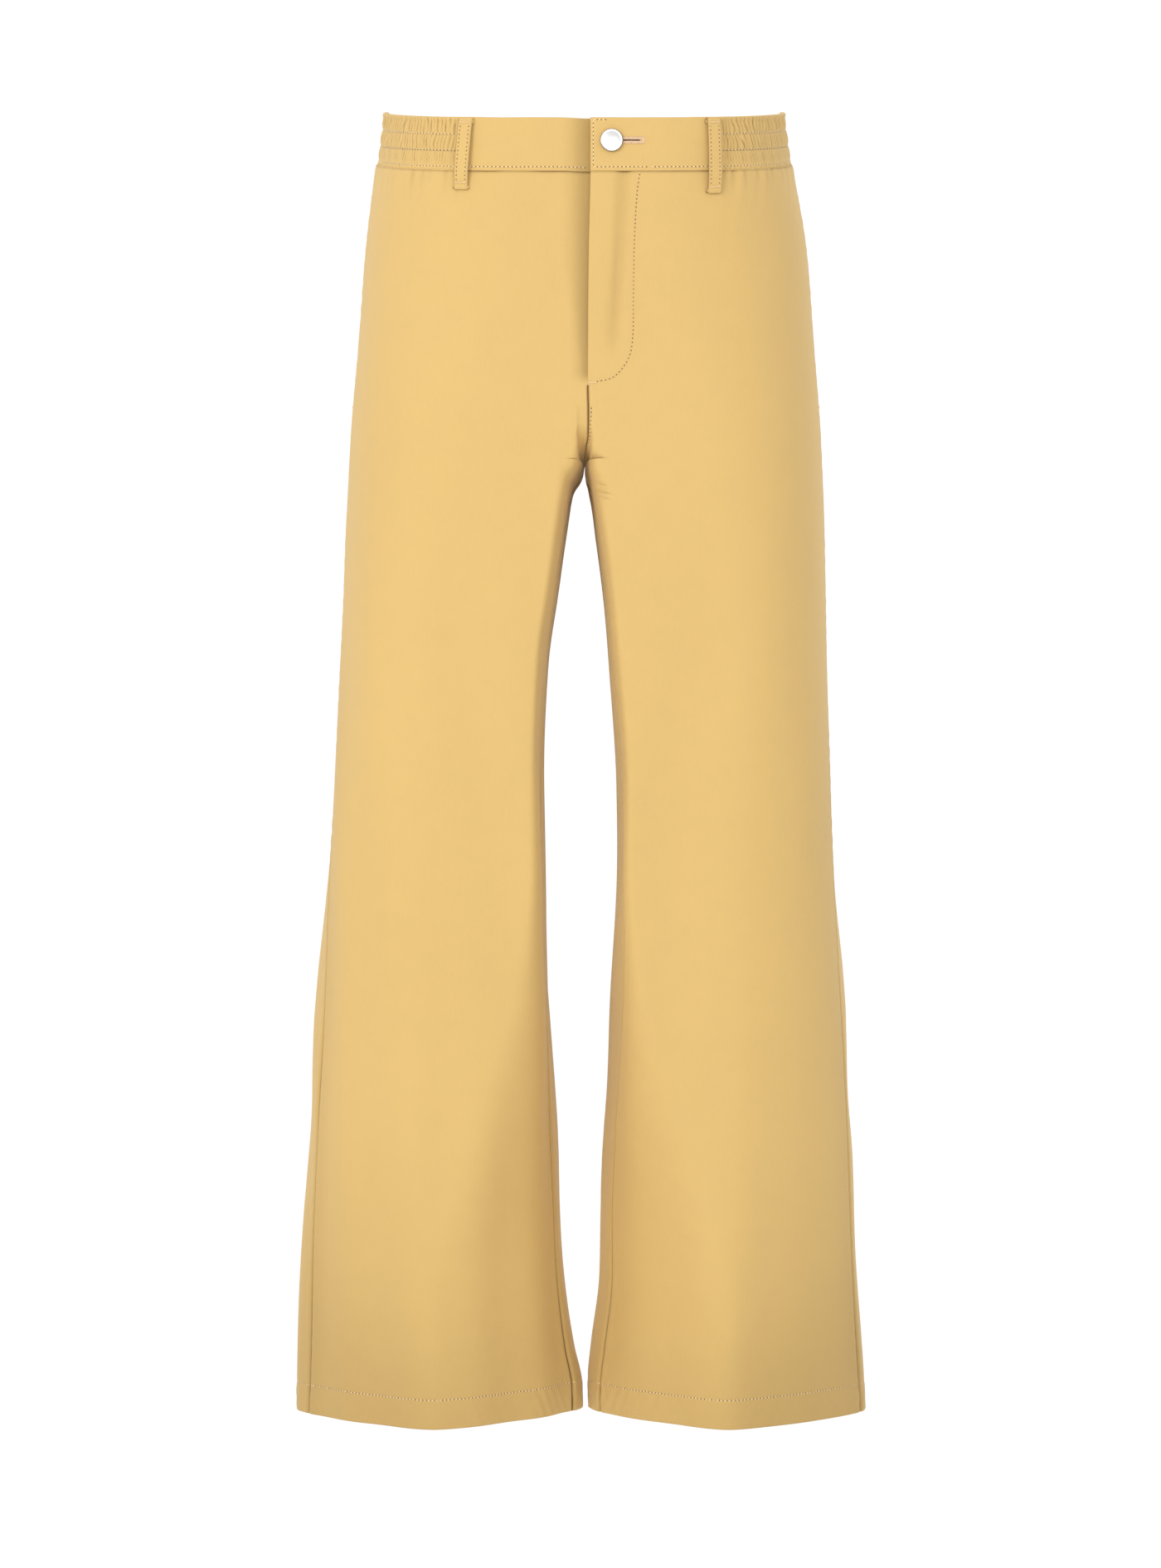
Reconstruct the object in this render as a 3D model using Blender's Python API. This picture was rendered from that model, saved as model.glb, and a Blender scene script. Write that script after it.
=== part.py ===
"""Wide-leg trousers with a partly elasticated waistband, a zip fly and a shank button.

Metres, +Z up. The origin is the middle of the waist opening, level with its top at the hips.
+X is the wearer's left, and -Y is the front.
"""

import functools
import math

import bmesh
import bpy
import numpy as np
from mathutils import Vector

MM = 0.001

# Cloth and the space that neighbouring pieces keep.
CLOTH = 1.0 * MM
GAP = 0.3 * MM
SEAM = 0.2 * MM

# Heights.
BAND_HEIGHT = 40 * MM
BAND_SEAM = 1.0 * MM  # between the waistband's foot and the panels
CROTCH = -282 * MM
HEM = -1020 * MM
HEM_DEPTH = 22 * MM
PANEL_COLUMNS = 17

# Outline at each height: z, then how far the right leg's outer and inner sides and the
# left leg's outer and inner sides stand from the middle plane, all in millimetres.
OUTLINE = (
    (20, 155, 0, 155, 0),
    (0, 157, 0, 157, 0),
    (-40, 163, 0, 163, 0),
    (-110, 172, 0, 175, 0),
    (-180, 177, 0, 180, 0),
    (-250, 183, 0, 185.5, 0),
    (-282, 184.6, 0.4, 187, 0.4),
    (-300, 185.5, 9, 187.8, 4),
    (-330, 187.3, 14, 188.6, 8.2),
    (-375, 188.8, 20.2, 189.3, 14),
    (-435, 191.7, 28.7, 190.3, 19.5),
    (-530, 196.5, 32.8, 194, 26.8),
    (-630, 204.6, 31.3, 199, 24.8),
    (-725, 211.5, 25.5, 205.5, 21),
    (-800, 217, 21.7, 210, 15.5),
    (-870, 221, 18, 213, 12),
    (-920, 222.8, 13.5, 215.5, 10),
    (-970, 224.2, 7, 218.7, 3.8),
    (-1000, 225.4, 1.6, 220.7, 0.8),
    (-1030, 226.4, 1.2, 222.4, 0.8),
)
# Depth of the front and of the back from the side seams' plane, in millimetres.
DEPTHS = (
    (20, 112, 110),
    (0, 112, 112),
    (-40, 112, 116),
    (-110, 112, 126),
    (-180, 112, 134),
    (-250, 112, 133),
    (-330, 110, 122),
    (-435, 105, 114),
    (-530, 101, 108),
    (-725, 94, 98),
    (-870, 91, 94),
    (-1030, 90, 92),
)
# How far forward of the leg's outer and inner extremes its seams run, in millimetres.
OUTSEAM = {
    "right": (
        (0, 0), (-250, 0), (-400, 5), (-514, 17), (-560, 24),
        (-629, 32), (-680, 34), (-800, 29), (-900, 24.5), (-1030, 22.5),
    ),
    "left": (
        (0, 0), (-250, 0), (-400, 8), (-484, 20), (-555, 29),
        (-680, 25), (-800, 19.5), (-900, 16), (-1030, 13.5),
    ),
}
INSEAM = {
    "right": (
        (0, 0), (-282, 0), (-300, 40), (-322, 78), (-350, 95), (-374, 100), (-400, 92), (-430, 77),
        (-450, 72), (-500, 70), (-575, 78), (-625, 77), (-690, 64), (-726, 55), (-800, 36), (-870, 23), (-1030, 19),
    ),
    "left": (
        (0, 0), (-282, 0), (-297, 50), (-315, 90), (-340, 103), (-370, 104), (-400, 103), (-450, 100),
        (-500, 96), (-575, 99), (-625, 98), (-690, 87), (-726, 75), (-800, 48), (-870, 32), (-1030, 25),
    ),
}
SIGN = {"right": -1, "left": 1}
COLUMN = {"right": 1, "left": 3}

FRONT_DEPTH = 112 * MM
INNER_Y = 10 * MM  # where the crotch and the inner sides of the legs stand in depth
FRONT_CURVE_TOP = -215 * MM  # where the front crotch curve leaves the front plane
BACK_CURVE_TOP = -150 * MM
CROTCH_POWER = {"front": 4.6, "back": 2.2}  # how square the crotch curve is
LEG_START = -100 * MM
ROUNDNESS = 0.6
HEM_ROUNDNESS = 0.24  # by the hems, where the legs hang flat towards their sides
HEM_SHAPE_FROM = -500 * MM
# Near the crotch the inner thighs are squarer: across the face, then along the inner side.
INNER_ROUNDNESS = {"front": (0.9, 0.45), "back": (0.8, 0.8)}
INNER_SQUARE_DOWN_TO = -580 * MM
INNER_SETTLED = -940 * MM
INNER_FLAT = 0.88  # share of the inner half of the front that is flat at the crotch
FLAT_SHARE = 0.32
TILT_FRONT = 0.223  # the waist opening's slope from the sides down to the front
TILT_BACK = 0.05
TILT_END = -250 * MM

# Fly.
FLAP_EDGE = 4.4 * MM
FLAP_WIDTH_X = 38 * MM
FLY_FOOT = -224 * MM
FLY_ROUND_X = 29 * MM
FLY_ROUND_Z = 32 * MM
HINGE_X = 48 * MM
UNDERLAP_END = 46 * MM
UNDERLAP_RECESS = 2.9 * MM
PANEL_UNDERLAP_END = 12 * MM
RECESS_START = -14 * MM  # arc where the right front starts to step back behind the flap
UNDERLAP_FOOT = 8 * MM  # how far above the foot of the fly the underlap ends

# Waistband.
ELASTIC_FROM = {"right": 93.5 * MM, "left": 103.5 * MM}  # arc from centre front
ELASTIC_BACK = 105 * MM  # arc from centre back
FACING = 0.8 * MM
FACING_GAP = 0.6 * MM
ELASTIC_THICK = 1.2 * MM
ELASTIC_TOP = -2.5 * MM
ELASTIC_FOOT = -38 * MM
ELASTIC_MARGIN = 21 * MM
ELASTIC_RAMP = 6 * MM
BAND_STEP = 9 * MM
TRUE_ARC = 110 * MM  # how far from centre front and centre back arcs are true lengths
LOOP_WIDTH = 10.5 * MM
LOOP_CLEAR = 6.0 * MM
LOOP_THICK = 1.2 * MM
LOOP_GAP = 0.7 * MM

# Pockets. Arcs are counted from centre back.
BAG_INSET = 3.0 * MM
BAG_THICK = 1.4 * MM
BAG_WIDTHS = (
    (-43, 95), (-100, 120), (-160, 140), (-220, 146), (-270, 136), (-300, 112), (-312, 80),
)
WELT_ARCS = (42 * MM, 172 * MM)
WELT_LEVELS = (-88 * MM, -94 * MM, -100 * MM)
BACK_BAG_ARCS = (34 * MM, 170 * MM)
BACK_BAG_LEVELS = (-82 * MM, -235 * MM)

# Zip.
ZIP_X = 22 * MM
ZIP_Y = -104.5 * MM
ZIP_TOP = -68 * MM
ZIP_END = -220 * MM
TOOTH_PITCH = 3.0 * MM
TOOTH_HEIGHT = 1.1 * MM
TAPE_THICK = 0.5 * MM
CHAIN_THICK = 2.0 * MM
SLIDER_TOP = -70.5 * MM
SLIDER_LENGTH = 10 * MM

# Button.
BUTTON_X = 20.5 * MM
BUTTON_Z = -42 * MM
BUTTON_RADIUS = 8.6 * MM
SHANK_RADIUS = 1.6 * MM
HOLE_END_X = 42 * MM
HOLE_HALF = 2.1 * MM
CUT_DEPTHS = (-120 * MM, -100 * MM)  # a cutter's reach through every layer of the front


def clear_scene():
    for thing in list(bpy.data.objects):
        bpy.data.objects.remove(thing, do_unlink=True)


# Materials


def material(name, colour, roughness, metallic=0.0):
    made = bpy.data.materials.new(name)
    made.use_nodes = True
    shader = made.node_tree.nodes["Principled BSDF"]
    shader.inputs["Base Color"].default_value = (*colour, 1.0)
    shader.inputs["Roughness"].default_value = roughness
    shader.inputs["Metallic"].default_value = metallic
    return made


def make_materials():
    return {
        "twill": material("twill", (0.78, 0.56, 0.26), 0.85),
        "lining": material("lining", (0.72, 0.60, 0.40), 0.9),
        "thread": material("thread", (0.70, 0.50, 0.24), 0.7),
        "elastic": material("elastic", (0.86, 0.84, 0.78), 0.9),
        "tape": material("tape", (0.68, 0.50, 0.25), 0.85),
        "brass": material("brass", (0.60, 0.47, 0.25), 0.35, 1.0),
        "nickel": material("nickel", (0.75, 0.75, 0.74), 0.25, 1.0),
    }


# The body surface that every sheet of cloth follows


def smoothstep(low, high, value):
    share = min(max((value - low) / (high - low), 0.0), 1.0)
    return share * share * (3 - 2 * share)


def slopes_of(x, y):
    """Slopes of a curve through the points that never overshoots them."""
    width = np.diff(x)
    rise = np.diff(y) / width
    slopes = np.zeros(len(x))
    slopes[0] = rise[0]
    slopes[-1] = rise[-1]
    for i in range(1, len(x) - 1):
        if rise[i - 1] * rise[i] > 0:
            first = 2 * width[i] + width[i - 1]
            second = width[i] + 2 * width[i - 1]
            slopes[i] = (first + second) / (first / rise[i - 1] + second / rise[i])
    return slopes


class Curve:
    """A smooth curve through the rows (z, value) of a table in millimetres."""

    def __init__(self, rows):
        points = sorted((row[0] * MM, row[1] * MM) for row in rows)
        self.x = np.array([point[0] for point in points])
        self.y = np.array([point[1] for point in points])
        self.slope = slopes_of(self.x, self.y)

    def __call__(self, z):
        z = min(max(z, self.x[0]), self.x[-1])
        i = int(np.clip(np.searchsorted(self.x, z) - 1, 0, len(self.x) - 2))
        width = self.x[i + 1] - self.x[i]
        t = (z - self.x[i]) / width
        start = (1 + 2 * t) * (1 - t) ** 2 * self.y[i] + t * (1 - t) ** 2 * width * self.slope[i]
        finish = t * t * (3 - 2 * t) * self.y[i + 1] + t * t * (t - 1) * width * self.slope[i + 1]
        return start + finish


OUTER = {side: Curve([(row[0], row[COLUMN[side]]) for row in OUTLINE]) for side in SIGN}
INNER = {side: Curve([(row[0], row[COLUMN[side] + 1]) for row in OUTLINE]) for side in SIGN}
FRONT = Curve([(row[0], row[1]) for row in DEPTHS])
BACK = Curve([(row[0], row[2]) for row in DEPTHS])
OUTSEAM_AT = {side: Curve(OUTSEAM[side]) for side in SIGN}
INSEAM_AT = {side: Curve(INSEAM[side]) for side in SIGN}

STEPS = np.linspace(0, 1, 40)[:, None]
BEZIER = np.hstack(
    [(1 - STEPS) ** 3, 3 * STEPS * (1 - STEPS) ** 2, 3 * STEPS**2 * (1 - STEPS), STEPS**3]
)


def half_section(side, z, face):
    """Points (x, y) of the front or back half of one leg's section, from its outer extreme inwards."""
    outer = OUTER[side](z)
    inner = INNER[side](z)
    depth = FRONT(z) if face == "front" else BACK(z)
    top = FRONT_CURVE_TOP if face == "front" else BACK_CURVE_TOP
    toward = -1 if face == "front" else 1
    drop = min(max((top - z) / (top - CROTCH), 0.0), 1.0)
    power = CROTCH_POWER[face]
    turned = 1 - (1 - drop**power) ** (1 / power)
    reach = depth + INNER_Y if face == "front" else depth - INNER_Y
    end = np.array([inner, toward * (depth - reach * turned)])
    settled = smoothstep(LEG_START, CROTCH, z)
    crest_x = (1 - settled) * FLAT_SHARE * outer + settled * (outer + inner) / 2
    crest = np.array([crest_x, toward * depth])
    start = np.array([outer, 0.0])
    side_roundness = ROUNDNESS + (HEM_ROUNDNESS - ROUNDNESS) * smoothstep(HEM_SHAPE_FROM, HEM, z)
    side_arc = BEZIER @ np.array(
        [
            start,
            start + (0, toward * side_roundness * depth),
            crest + (side_roundness * (outer - crest_x), 0),
            crest,
        ]
    )
    square = smoothstep(INNER_SETTLED, INNER_SQUARE_DOWN_TO, z)
    face_roundness, wall_roundness = (
        side_roundness + (value - side_roundness) * square for value in INNER_ROUNDNESS[face]
    )
    turn_x = crest_x
    if face == "front":
        turn_x = crest_x - INNER_FLAT * square * (crest_x - inner)
    turn = np.array([turn_x, toward * depth])
    across = face_roundness * (turn_x - inner)
    handle = np.array([across * (1 - turned), toward * wall_roundness * reach * turned])
    inner_arc = BEZIER @ np.array([turn, turn - (across, 0), end + handle, end])
    points = np.vstack([side_arc, inner_arc[1:]])
    if turn_x < crest_x:
        flat = crest + (turn - crest) * np.linspace(0.1, 0.9, 9)[:, None]
        points = np.vstack([side_arc, flat, inner_arc])
    points[:, 0] *= SIGN[side]
    return points


def lengths_along(points):
    return np.concatenate([[0], np.cumsum(np.linalg.norm(np.diff(points, axis=0), axis=1))])


SECTIONS = {}


def section(side, z):
    """The whole loop by share of each half: 0 is the outer extreme, 1 the front's end, -1 the back's."""
    key = (side, round(z, 6))
    if key not in SECTIONS:
        front = half_section(side, z, "front")
        back = half_section(side, z, "back")
        front_length = lengths_along(front)
        back_length = lengths_along(back)
        front_share = front_length / front_length[-1]
        back_share = back_length / back_length[-1]
        shares = np.concatenate([front_share[:-1] - 2, -back_share[::-1][:-1], front_share])
        points = np.vstack([front[:-1], back[::-1][:-1], front])
        SECTIONS[key] = (shares, points, front_length[-1])
    return SECTIONS[key]


def at_share(side, z, share):
    shares, points, _ = section(side, z)
    return np.array(
        [np.interp(share, shares, points[:, 0]), np.interp(share, shares, points[:, 1]), z]
    )


def front_length(side, z):
    return section(side, z)[2]


def surface(side, z, share, inset=0.0):
    """A point of the surface, moved inwards by inset along its normal."""
    here = at_share(side, z, share)
    if inset == 0:
        return Vector(here)
    small = 0.5 * MM
    share_step = small / front_length(side, z)
    lowest = -1.0 if z > CROTCH else -3.0
    ahead = at_share(side, z, share + share_step)
    along = ahead - at_share(side, z, max(share - share_step, lowest))
    down = at_share(side, z - small, share) - at_share(side, z + small, share)
    inwards = np.cross(down, along)
    inwards *= SIGN[side] / np.linalg.norm(inwards)
    place = here + inset * inwards
    place[0] = SIGN[side] * max(SIGN[side] * place[0], min(SIGN[side] * here[0], SEAM))
    return Vector(place)


def tilted(level, y):
    """The height of a point at depth y whose level is counted down from the sloping top edge."""
    slope = TILT_FRONT if y < 0 else TILT_BACK
    blend = 1.0 if level > -BAND_HEIGHT else smoothstep(TILT_END, -BAND_HEIGHT, level)
    return level + slope * y * blend


def level_surface(side, level, share, inset=0.0):
    y = at_share(side, level, share)[1]
    return surface(side, tilted(level, y), share, inset)


def front_height(level):
    return tilted(level, -FRONT_DEPTH)


def level_at_front(z):
    """The level whose front stands at a height."""
    level = z
    for _ in range(12):
        level += z - front_height(level)
    return level


def front_share(side, z, arc):
    """The share at an arc from centre front."""
    return 1 - arc / front_length(side, z)


# Mesh helpers


def finish(name, vertices, faces, made_of, smooth=True):
    mesh = bpy.data.meshes.new(name)
    mesh.from_pydata([tuple(v) for v in vertices], [], faces)
    work = bmesh.new()
    work.from_mesh(mesh)
    bmesh.ops.recalc_face_normals(work, faces=work.faces)
    for face in work.faces:
        face.smooth = smooth
    work.to_mesh(mesh)
    work.free()
    mesh.materials.append(made_of)
    thing = bpy.data.objects.new(name, mesh)
    bpy.context.scene.collection.objects.link(thing)
    return thing


def grid_solid(name, outer, inner, made_of, ring=False):
    """One closed solid between two grids of the same size. A ring joins its last column to its first."""
    rows = len(outer)
    columns = len(outer[0])
    vertices = [point for row in outer for point in row]
    vertices += [point for row in inner for point in row]
    half = rows * columns
    faces = []
    last = columns if ring else columns - 1
    for r in range(rows - 1):
        for c in range(last):
            a = r * columns + c
            b = r * columns + (c + 1) % columns
            faces.append((a, b, b + columns, a + columns))
            faces.append((half + a, half + a + columns, half + b + columns, half + b))
    for c in range(last):
        b = (c + 1) % columns
        foot = (rows - 1) * columns
        faces.append((c, half + c, half + b, b))
        faces.append((foot + c, foot + b, half + foot + b, half + foot + c))
    if not ring:
        for r in range(rows - 1):
            for c in (0, columns - 1):
                a = r * columns + c
                faces.append((a, a + columns, half + a + columns, half + a))
    return finish(name, vertices, faces, made_of)


def swept_solid(name, sections, made_of):
    """One closed solid through a list of sections with the same number of points."""
    count = len(sections[0])
    vertices = [point for one in sections for point in one]
    faces = [tuple(range(count)), tuple(range(len(vertices) - count, len(vertices)))]
    for s in range(len(sections) - 1):
        for p in range(count):
            a = s * count + p
            b = s * count + (p + 1) % count
            faces.append((a, b, b + count, a + count))
    return finish(name, vertices, faces, made_of)


def prism(name, outline, low, high, axis, made_of):
    """A flat outline pushed along an axis from low to high. The outline is in the other two axes."""
    ends = []
    for value in (low, high):
        ring = []
        for first, second in outline:
            point = [first, second]
            point.insert(axis, value)
            ring.append(Vector(point))
        ends.append(ring)
    return swept_solid(name, ends, made_of)


def box(name, low, high, made_of):
    outline = ((low[0], low[1]), (high[0], low[1]), (high[0], high[1]), (low[0], high[1]))
    return prism(name, outline, low[2], high[2], 2, made_of)


def cut(thing, cutter):
    """Takes the cutter's shape out of the object and leaves the cutter hidden."""
    cutter.hide_render = True
    cutter.display_type = "WIRE"
    made = thing.modifiers.new("cut", "BOOLEAN")
    made.operation = "DIFFERENCE"
    made.solver = "EXACT"
    made.object = cutter


def join(thing, others):
    """Unites other objects with the first one and removes them."""
    for other in others:
        made = thing.modifiers.new("join", "BOOLEAN")
        made.operation = "UNION"
        made.solver = "EXACT"
        made.object = other
        other.hide_render = True
        other.display_type = "WIRE"


def spread(low, high, count):
    return [low + (high - low) * i / (count - 1) for i in range(count)]


# Leg and seat panels

UPPER_LEVELS = (-75, -110, -150, -185)
# Heights above the foot of the fly of the rows of points that pass it.
FLY_LEVELS = (27, 20, 13, 8.3, 7.8, 5, 2.5, 1, 0, -0.5)
BACK_FLY_LEVELS = (13, 0)
LOWER_LEVELS = (
    -236, -249, -262, -272, -279, -282, -290, -302, -330, -375,
    -435, -530, -630, -725, -800, -870, -920, -970, -1000,
)


def panel_levels(fly_levels):
    fly = [level_at_front(FLY_FOOT + up * MM) for up in fly_levels]
    upper = [level * MM for level in UPPER_LEVELS]
    lower = [level * MM for level in LOWER_LEVELS]
    return [-BAND_HEIGHT - BAND_SEAM, *upper, *fly, *lower, HEM]


def flap_limit(z):
    """How far from centre front the stitched outline of the fly stands at a height."""
    start = FLY_FOOT + FLY_ROUND_Z
    if z >= start:
        return FLAP_WIDTH_X
    down = min((start - z) / FLY_ROUND_Z, 1.0)
    return FLAP_WIDTH_X - FLY_ROUND_X * (1 - math.sqrt(1 - down * down))


def outseam_share(side, z):
    return OUTSEAM_AT[side](z) / front_length(side, z)


def inseam_share(side, z):
    return 1 - INSEAM_AT[side](z) / front_length(side, z)


def fly_open(z):
    """1 beside the fly, 0 below it."""
    return smoothstep(FLY_FOOT, FLY_FOOT + UNDERLAP_FOOT, z)


def step_back(arc):
    """How far the underlap lies behind the flap. The arc grows to the left."""
    return UNDERLAP_RECESS * smoothstep(RECESS_START, FLAP_EDGE - 1 * MM, arc)


def past_centre(z, arc, inset):
    """A point of the right front's edge that runs on past centre front, behind the flap."""
    return surface("left", z, front_share("left", z, arc), inset)


def front_panel(side, made_of):
    outer = []
    inner = []
    for level in panel_levels(FLY_LEVELS):
        z_front = front_height(level)
        length = front_length(side, z_front)
        if z_front < FLY_FOOT - 0.2 * MM:
            arc_end = SEAM
        elif side == "left":
            arc_end = flap_limit(z_front + 0.5 * MM) + 0.5 * MM
        elif z_front > FLY_FOOT + UNDERLAP_FOOT:
            arc_end = -PANEL_UNDERLAP_END
        else:
            arc_end = 0.5 * MM - FLAP_EDGE
        first = outseam_share(side, level) + SEAM / length
        last = inseam_share(side, level) - arc_end / length
        rows = ([], [])
        for share in spread(first, last, PANEL_COLUMNS):
            base_share = min(share, 1.0)
            z = tilted(level, at_share(side, level, base_share)[1])
            arc = (share - 1) * front_length(side, z)
            for row, inset in zip(rows, (0.0, CLOTH)):
                if side == "right" and level > CROTCH:
                    inset += step_back(arc) * fly_open(z)
                if share > 1:
                    row.append(past_centre(z, arc, inset))
                else:
                    row.append(surface(side, z, share, inset))
        outer.append(rows[0])
        inner.append(rows[1])
    return grid_solid(f"front_panel_{side}", outer, inner, made_of)


def back_panel(side, made_of):
    outer = []
    inner = []
    for level in panel_levels(BACK_FLY_LEVELS):
        length = front_length(side, level)
        first = inseam_share(side, level) - 2 + SEAM / length
        last = outseam_share(side, level) - SEAM / length
        rows = ([], [])
        for share in spread(first, last, PANEL_COLUMNS):
            for row, inset in zip(rows, (0.0, CLOTH)):
                row.append(level_surface(side, level, share, inset))
        outer.append(rows[0])
        inner.append(rows[1])
    return grid_solid(f"back_panel_{side}", outer, inner, made_of)


def hem_fold(side, made_of):
    """The cloth turned up inside the foot of a leg, with its corners behind the panels' own."""
    rows = ([], [])
    for level in (HEM + HEM_DEPTH, HEM):
        outseam = outseam_share(side, level)
        inseam = inseam_share(side, level)
        shares = spread(outseam, inseam, PANEL_COLUMNS)
        shares += spread(inseam - 2, outseam, PANEL_COLUMNS)[1:-1]
        for row, inset in zip(rows, (CLOTH + 2 * GAP, 2 * CLOTH + 2 * GAP)):
            row.append([surface(side, level, share, inset) for share in shares])
    return grid_solid(f"hem_fold_{side}", rows[0], rows[1], made_of, ring=True)


# Waistband


@functools.cache
def half_lengths(side, level):
    """The lengths of the front and the back half of a side."""
    back = lengths_along(half_section(side, level, "back"))[-1]
    return (front_length(side, level), back)


def half_round():
    """Arc from centre front to centre back along the top edge."""
    return sum(half_lengths("left", 0))


def waist_point(arc, level, inset):
    """A point at a level below the top edge, by its arc from centre front along that edge.

    The arc grows to the wearer's left, and may run on past centre back. Near centre front and
    centre back it is a true length at every level, and at the sides it stretches with the girth.
    """
    half = half_round()
    if arc > half:
        arc -= 2 * half
    side = "left" if arc >= 0 else "right"
    top = half_lengths(side, 0)
    here = half_lengths(side, level)
    in_back = int(abs(arc) > top[0])
    near = half - abs(arc) if in_back else abs(arc)
    stretch = smoothstep(TRUE_ARC, top[in_back], near)
    part = near * ((1 - stretch) / here[in_back] + stretch / top[in_back])
    return level_surface(side, level, part - 1 if in_back else 1 - part, inset)


def core(arc):
    """What the elastic adds between the outer cloth and the facing."""
    side = "left" if arc >= 0 else "right"
    away = abs(arc)
    start = ELASTIC_FROM[side]
    stop = half_round() - ELASTIC_BACK
    ramp = ELASTIC_RAMP
    rising = smoothstep(start + ramp, start + 2 * ramp, away)
    falling = 1 - smoothstep(stop - 2 * ramp, stop - ramp, away)
    return (ELASTIC_THICK + 3 * GAP) * rising * falling


def stations(first, last):
    """Arcs from first to last that every layer of the waistband shares, so that the layers run parallel."""
    half = half_round()
    count = int(half / BAND_STEP) + 1
    shared = [sign * i * BAND_STEP for sign in (-1, 1) for i in range(count)]
    shared += [2 * half - i * BAND_STEP for i in range(count)]
    inside = {round(arc, 6) for arc in shared if first + 2 * MM < arc < last - 2 * MM}
    return [first, *sorted(inside), last]


def band(name, first, last, profile, made_of, underlap=False):
    """Cloth along the waist between two arcs. The profile gives (level, inset, share of the core)."""
    sections = []
    for arc in stations(first, last):
        deep = step_back(arc) if underlap and abs(arc) < HINGE_X else 0.0
        sections.append(
            [
                waist_point(arc, level, inset + with_core * core(arc) + deep)
                for level, inset, with_core in profile
            ]
        )
    return swept_solid(name, sections, made_of)


def shell_profile():
    """The outer cloth and its fold over the top."""
    lip = CLOTH + FACING_GAP + FACING
    return (
        (0, 0, 0),
        (-BAND_HEIGHT, 0, 0),
        (-BAND_HEIGHT, CLOTH, 0),
        (-FACING, CLOTH, 0),
        (-FACING, lip, 1),
        (0, lip, 1),
    )


def strip_profile(top, bottom, near, far, with_core):
    return (
        (top, near, with_core),
        (bottom, near, with_core),
        (bottom, far, with_core),
        (top, far, with_core),
    )


def make_waistband(materials):
    twill = materials["twill"]
    half = half_round()
    shell = shell_profile()
    right = ELASTIC_FROM["right"]
    left = ELASTIC_FROM["left"]
    stop = half - ELASTIC_BACK
    front_right = band("waistband_front_right", -right + SEAM, UNDERLAP_END, shell, twill, True)
    band("waistband_front_left", HINGE_X + SEAM, left - SEAM, shell, twill)
    band("waistband_side_right", -stop + SEAM, -right - SEAM, shell, twill)
    band("waistband_side_left", left + SEAM, stop - SEAM, shell, twill)
    band("waistband_back", stop + SEAM, 2 * half - stop - SEAM, shell, twill)
    tab = band("waistband_tab", FLAP_EDGE, HINGE_X - SEAM, shell, twill)
    near = CLOTH + FACING_GAP
    strip = strip_profile(ELASTIC_TOP, ELASTIC_FOOT, near, near + ELASTIC_THICK, 0)
    for side in SIGN:
        ends = (
            SIGN[side] * (ELASTIC_FROM[side] + ELASTIC_MARGIN),
            SIGN[side] * (stop - ELASTIC_MARGIN),
        )
        band(f"elastic_{side}", min(ends), max(ends), strip, materials["elastic"])
    inner = strip_profile(-FACING - GAP, -BAND_HEIGHT, near, near + FACING, 1)
    facing_right = band("waistband_facing_right", SEAM - half, UNDERLAP_END, inner, twill, True)
    band("waistband_facing_left", HINGE_X + SEAM, half - SEAM, inner, twill)
    tab_inner = strip_profile(-FACING - GAP, -BAND_HEIGHT, near, near + FACING, 0)
    tab_facing = band("waistband_tab_facing", FLAP_EDGE, HINGE_X - SEAM, tab_inner, twill)
    for thing in (front_right, facing_right):
        cut(thing, shank_cutter(f"{thing.name}_hole"))
    for thing in (tab, tab_facing):
        cut(thing, slot_cutter(f"{thing.name}_slot"))


def shank_cutter(name):
    radius = SHANK_RADIUS + 0.4 * MM
    outline = circle_points(BUTTON_X, BUTTON_Z, radius, 16)
    return prism(name, outline, *CUT_DEPTHS, 1, None)


def circle_points(x, z, radius, count):
    turn = 2 * math.pi / count
    return [
        (x + radius * math.cos(i * turn), z + radius * math.sin(i * turn)) for i in range(count)
    ]


def slot_points(margin):
    """A long hole with round ends, from the shank to the far end of the buttonhole."""
    points = []
    radius = HOLE_HALF + margin
    ends = ((HOLE_END_X - HOLE_HALF, -90), (BUTTON_X, 90))
    for x, first in ends:
        for i in range(9):
            angle = math.radians(first + i * 22.5)
            points.append((x + radius * math.cos(angle), BUTTON_Z + radius * math.sin(angle)))
    return points


def slot_cutter(name):
    return prism(name, slot_points(0), *CUT_DEPTHS, 1, None)


# Belt loops


def belt_loop(name, arc, length, made_of):
    """A strip that stands off the waistband, held at its top and at its foot."""
    out = LOOP_CLEAR + LOOP_GAP
    over = out + LOOP_THICK
    inside = (
        (-2.2 * MM, LOOP_GAP),
        (-2.6 * MM, out * 0.6),
        (-4.4 * MM, out),
        (6 * MM - length, out),
        (3 * MM - length, out * 0.5),
        (1.4 * MM - length, LOOP_GAP),
    )
    outside = (
        (-length, LOOP_GAP),
        (1.6 * MM - length, out * 0.5 + LOOP_THICK),
        (5 * MM - length, over),
        (-3.4 * MM, over),
        (-1.0 * MM, out * 0.6 + LOOP_THICK),
        (-0.9 * MM, LOOP_GAP),
    )
    profile = [(level, -offset) for level, offset in inside + outside]
    sections = []
    for step in (-0.5, 0.5):
        place = arc + step * LOOP_WIDTH
        sections.append([waist_point(place, level, inset) for level, inset in profile])
    return swept_solid(name, sections, made_of)


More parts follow.
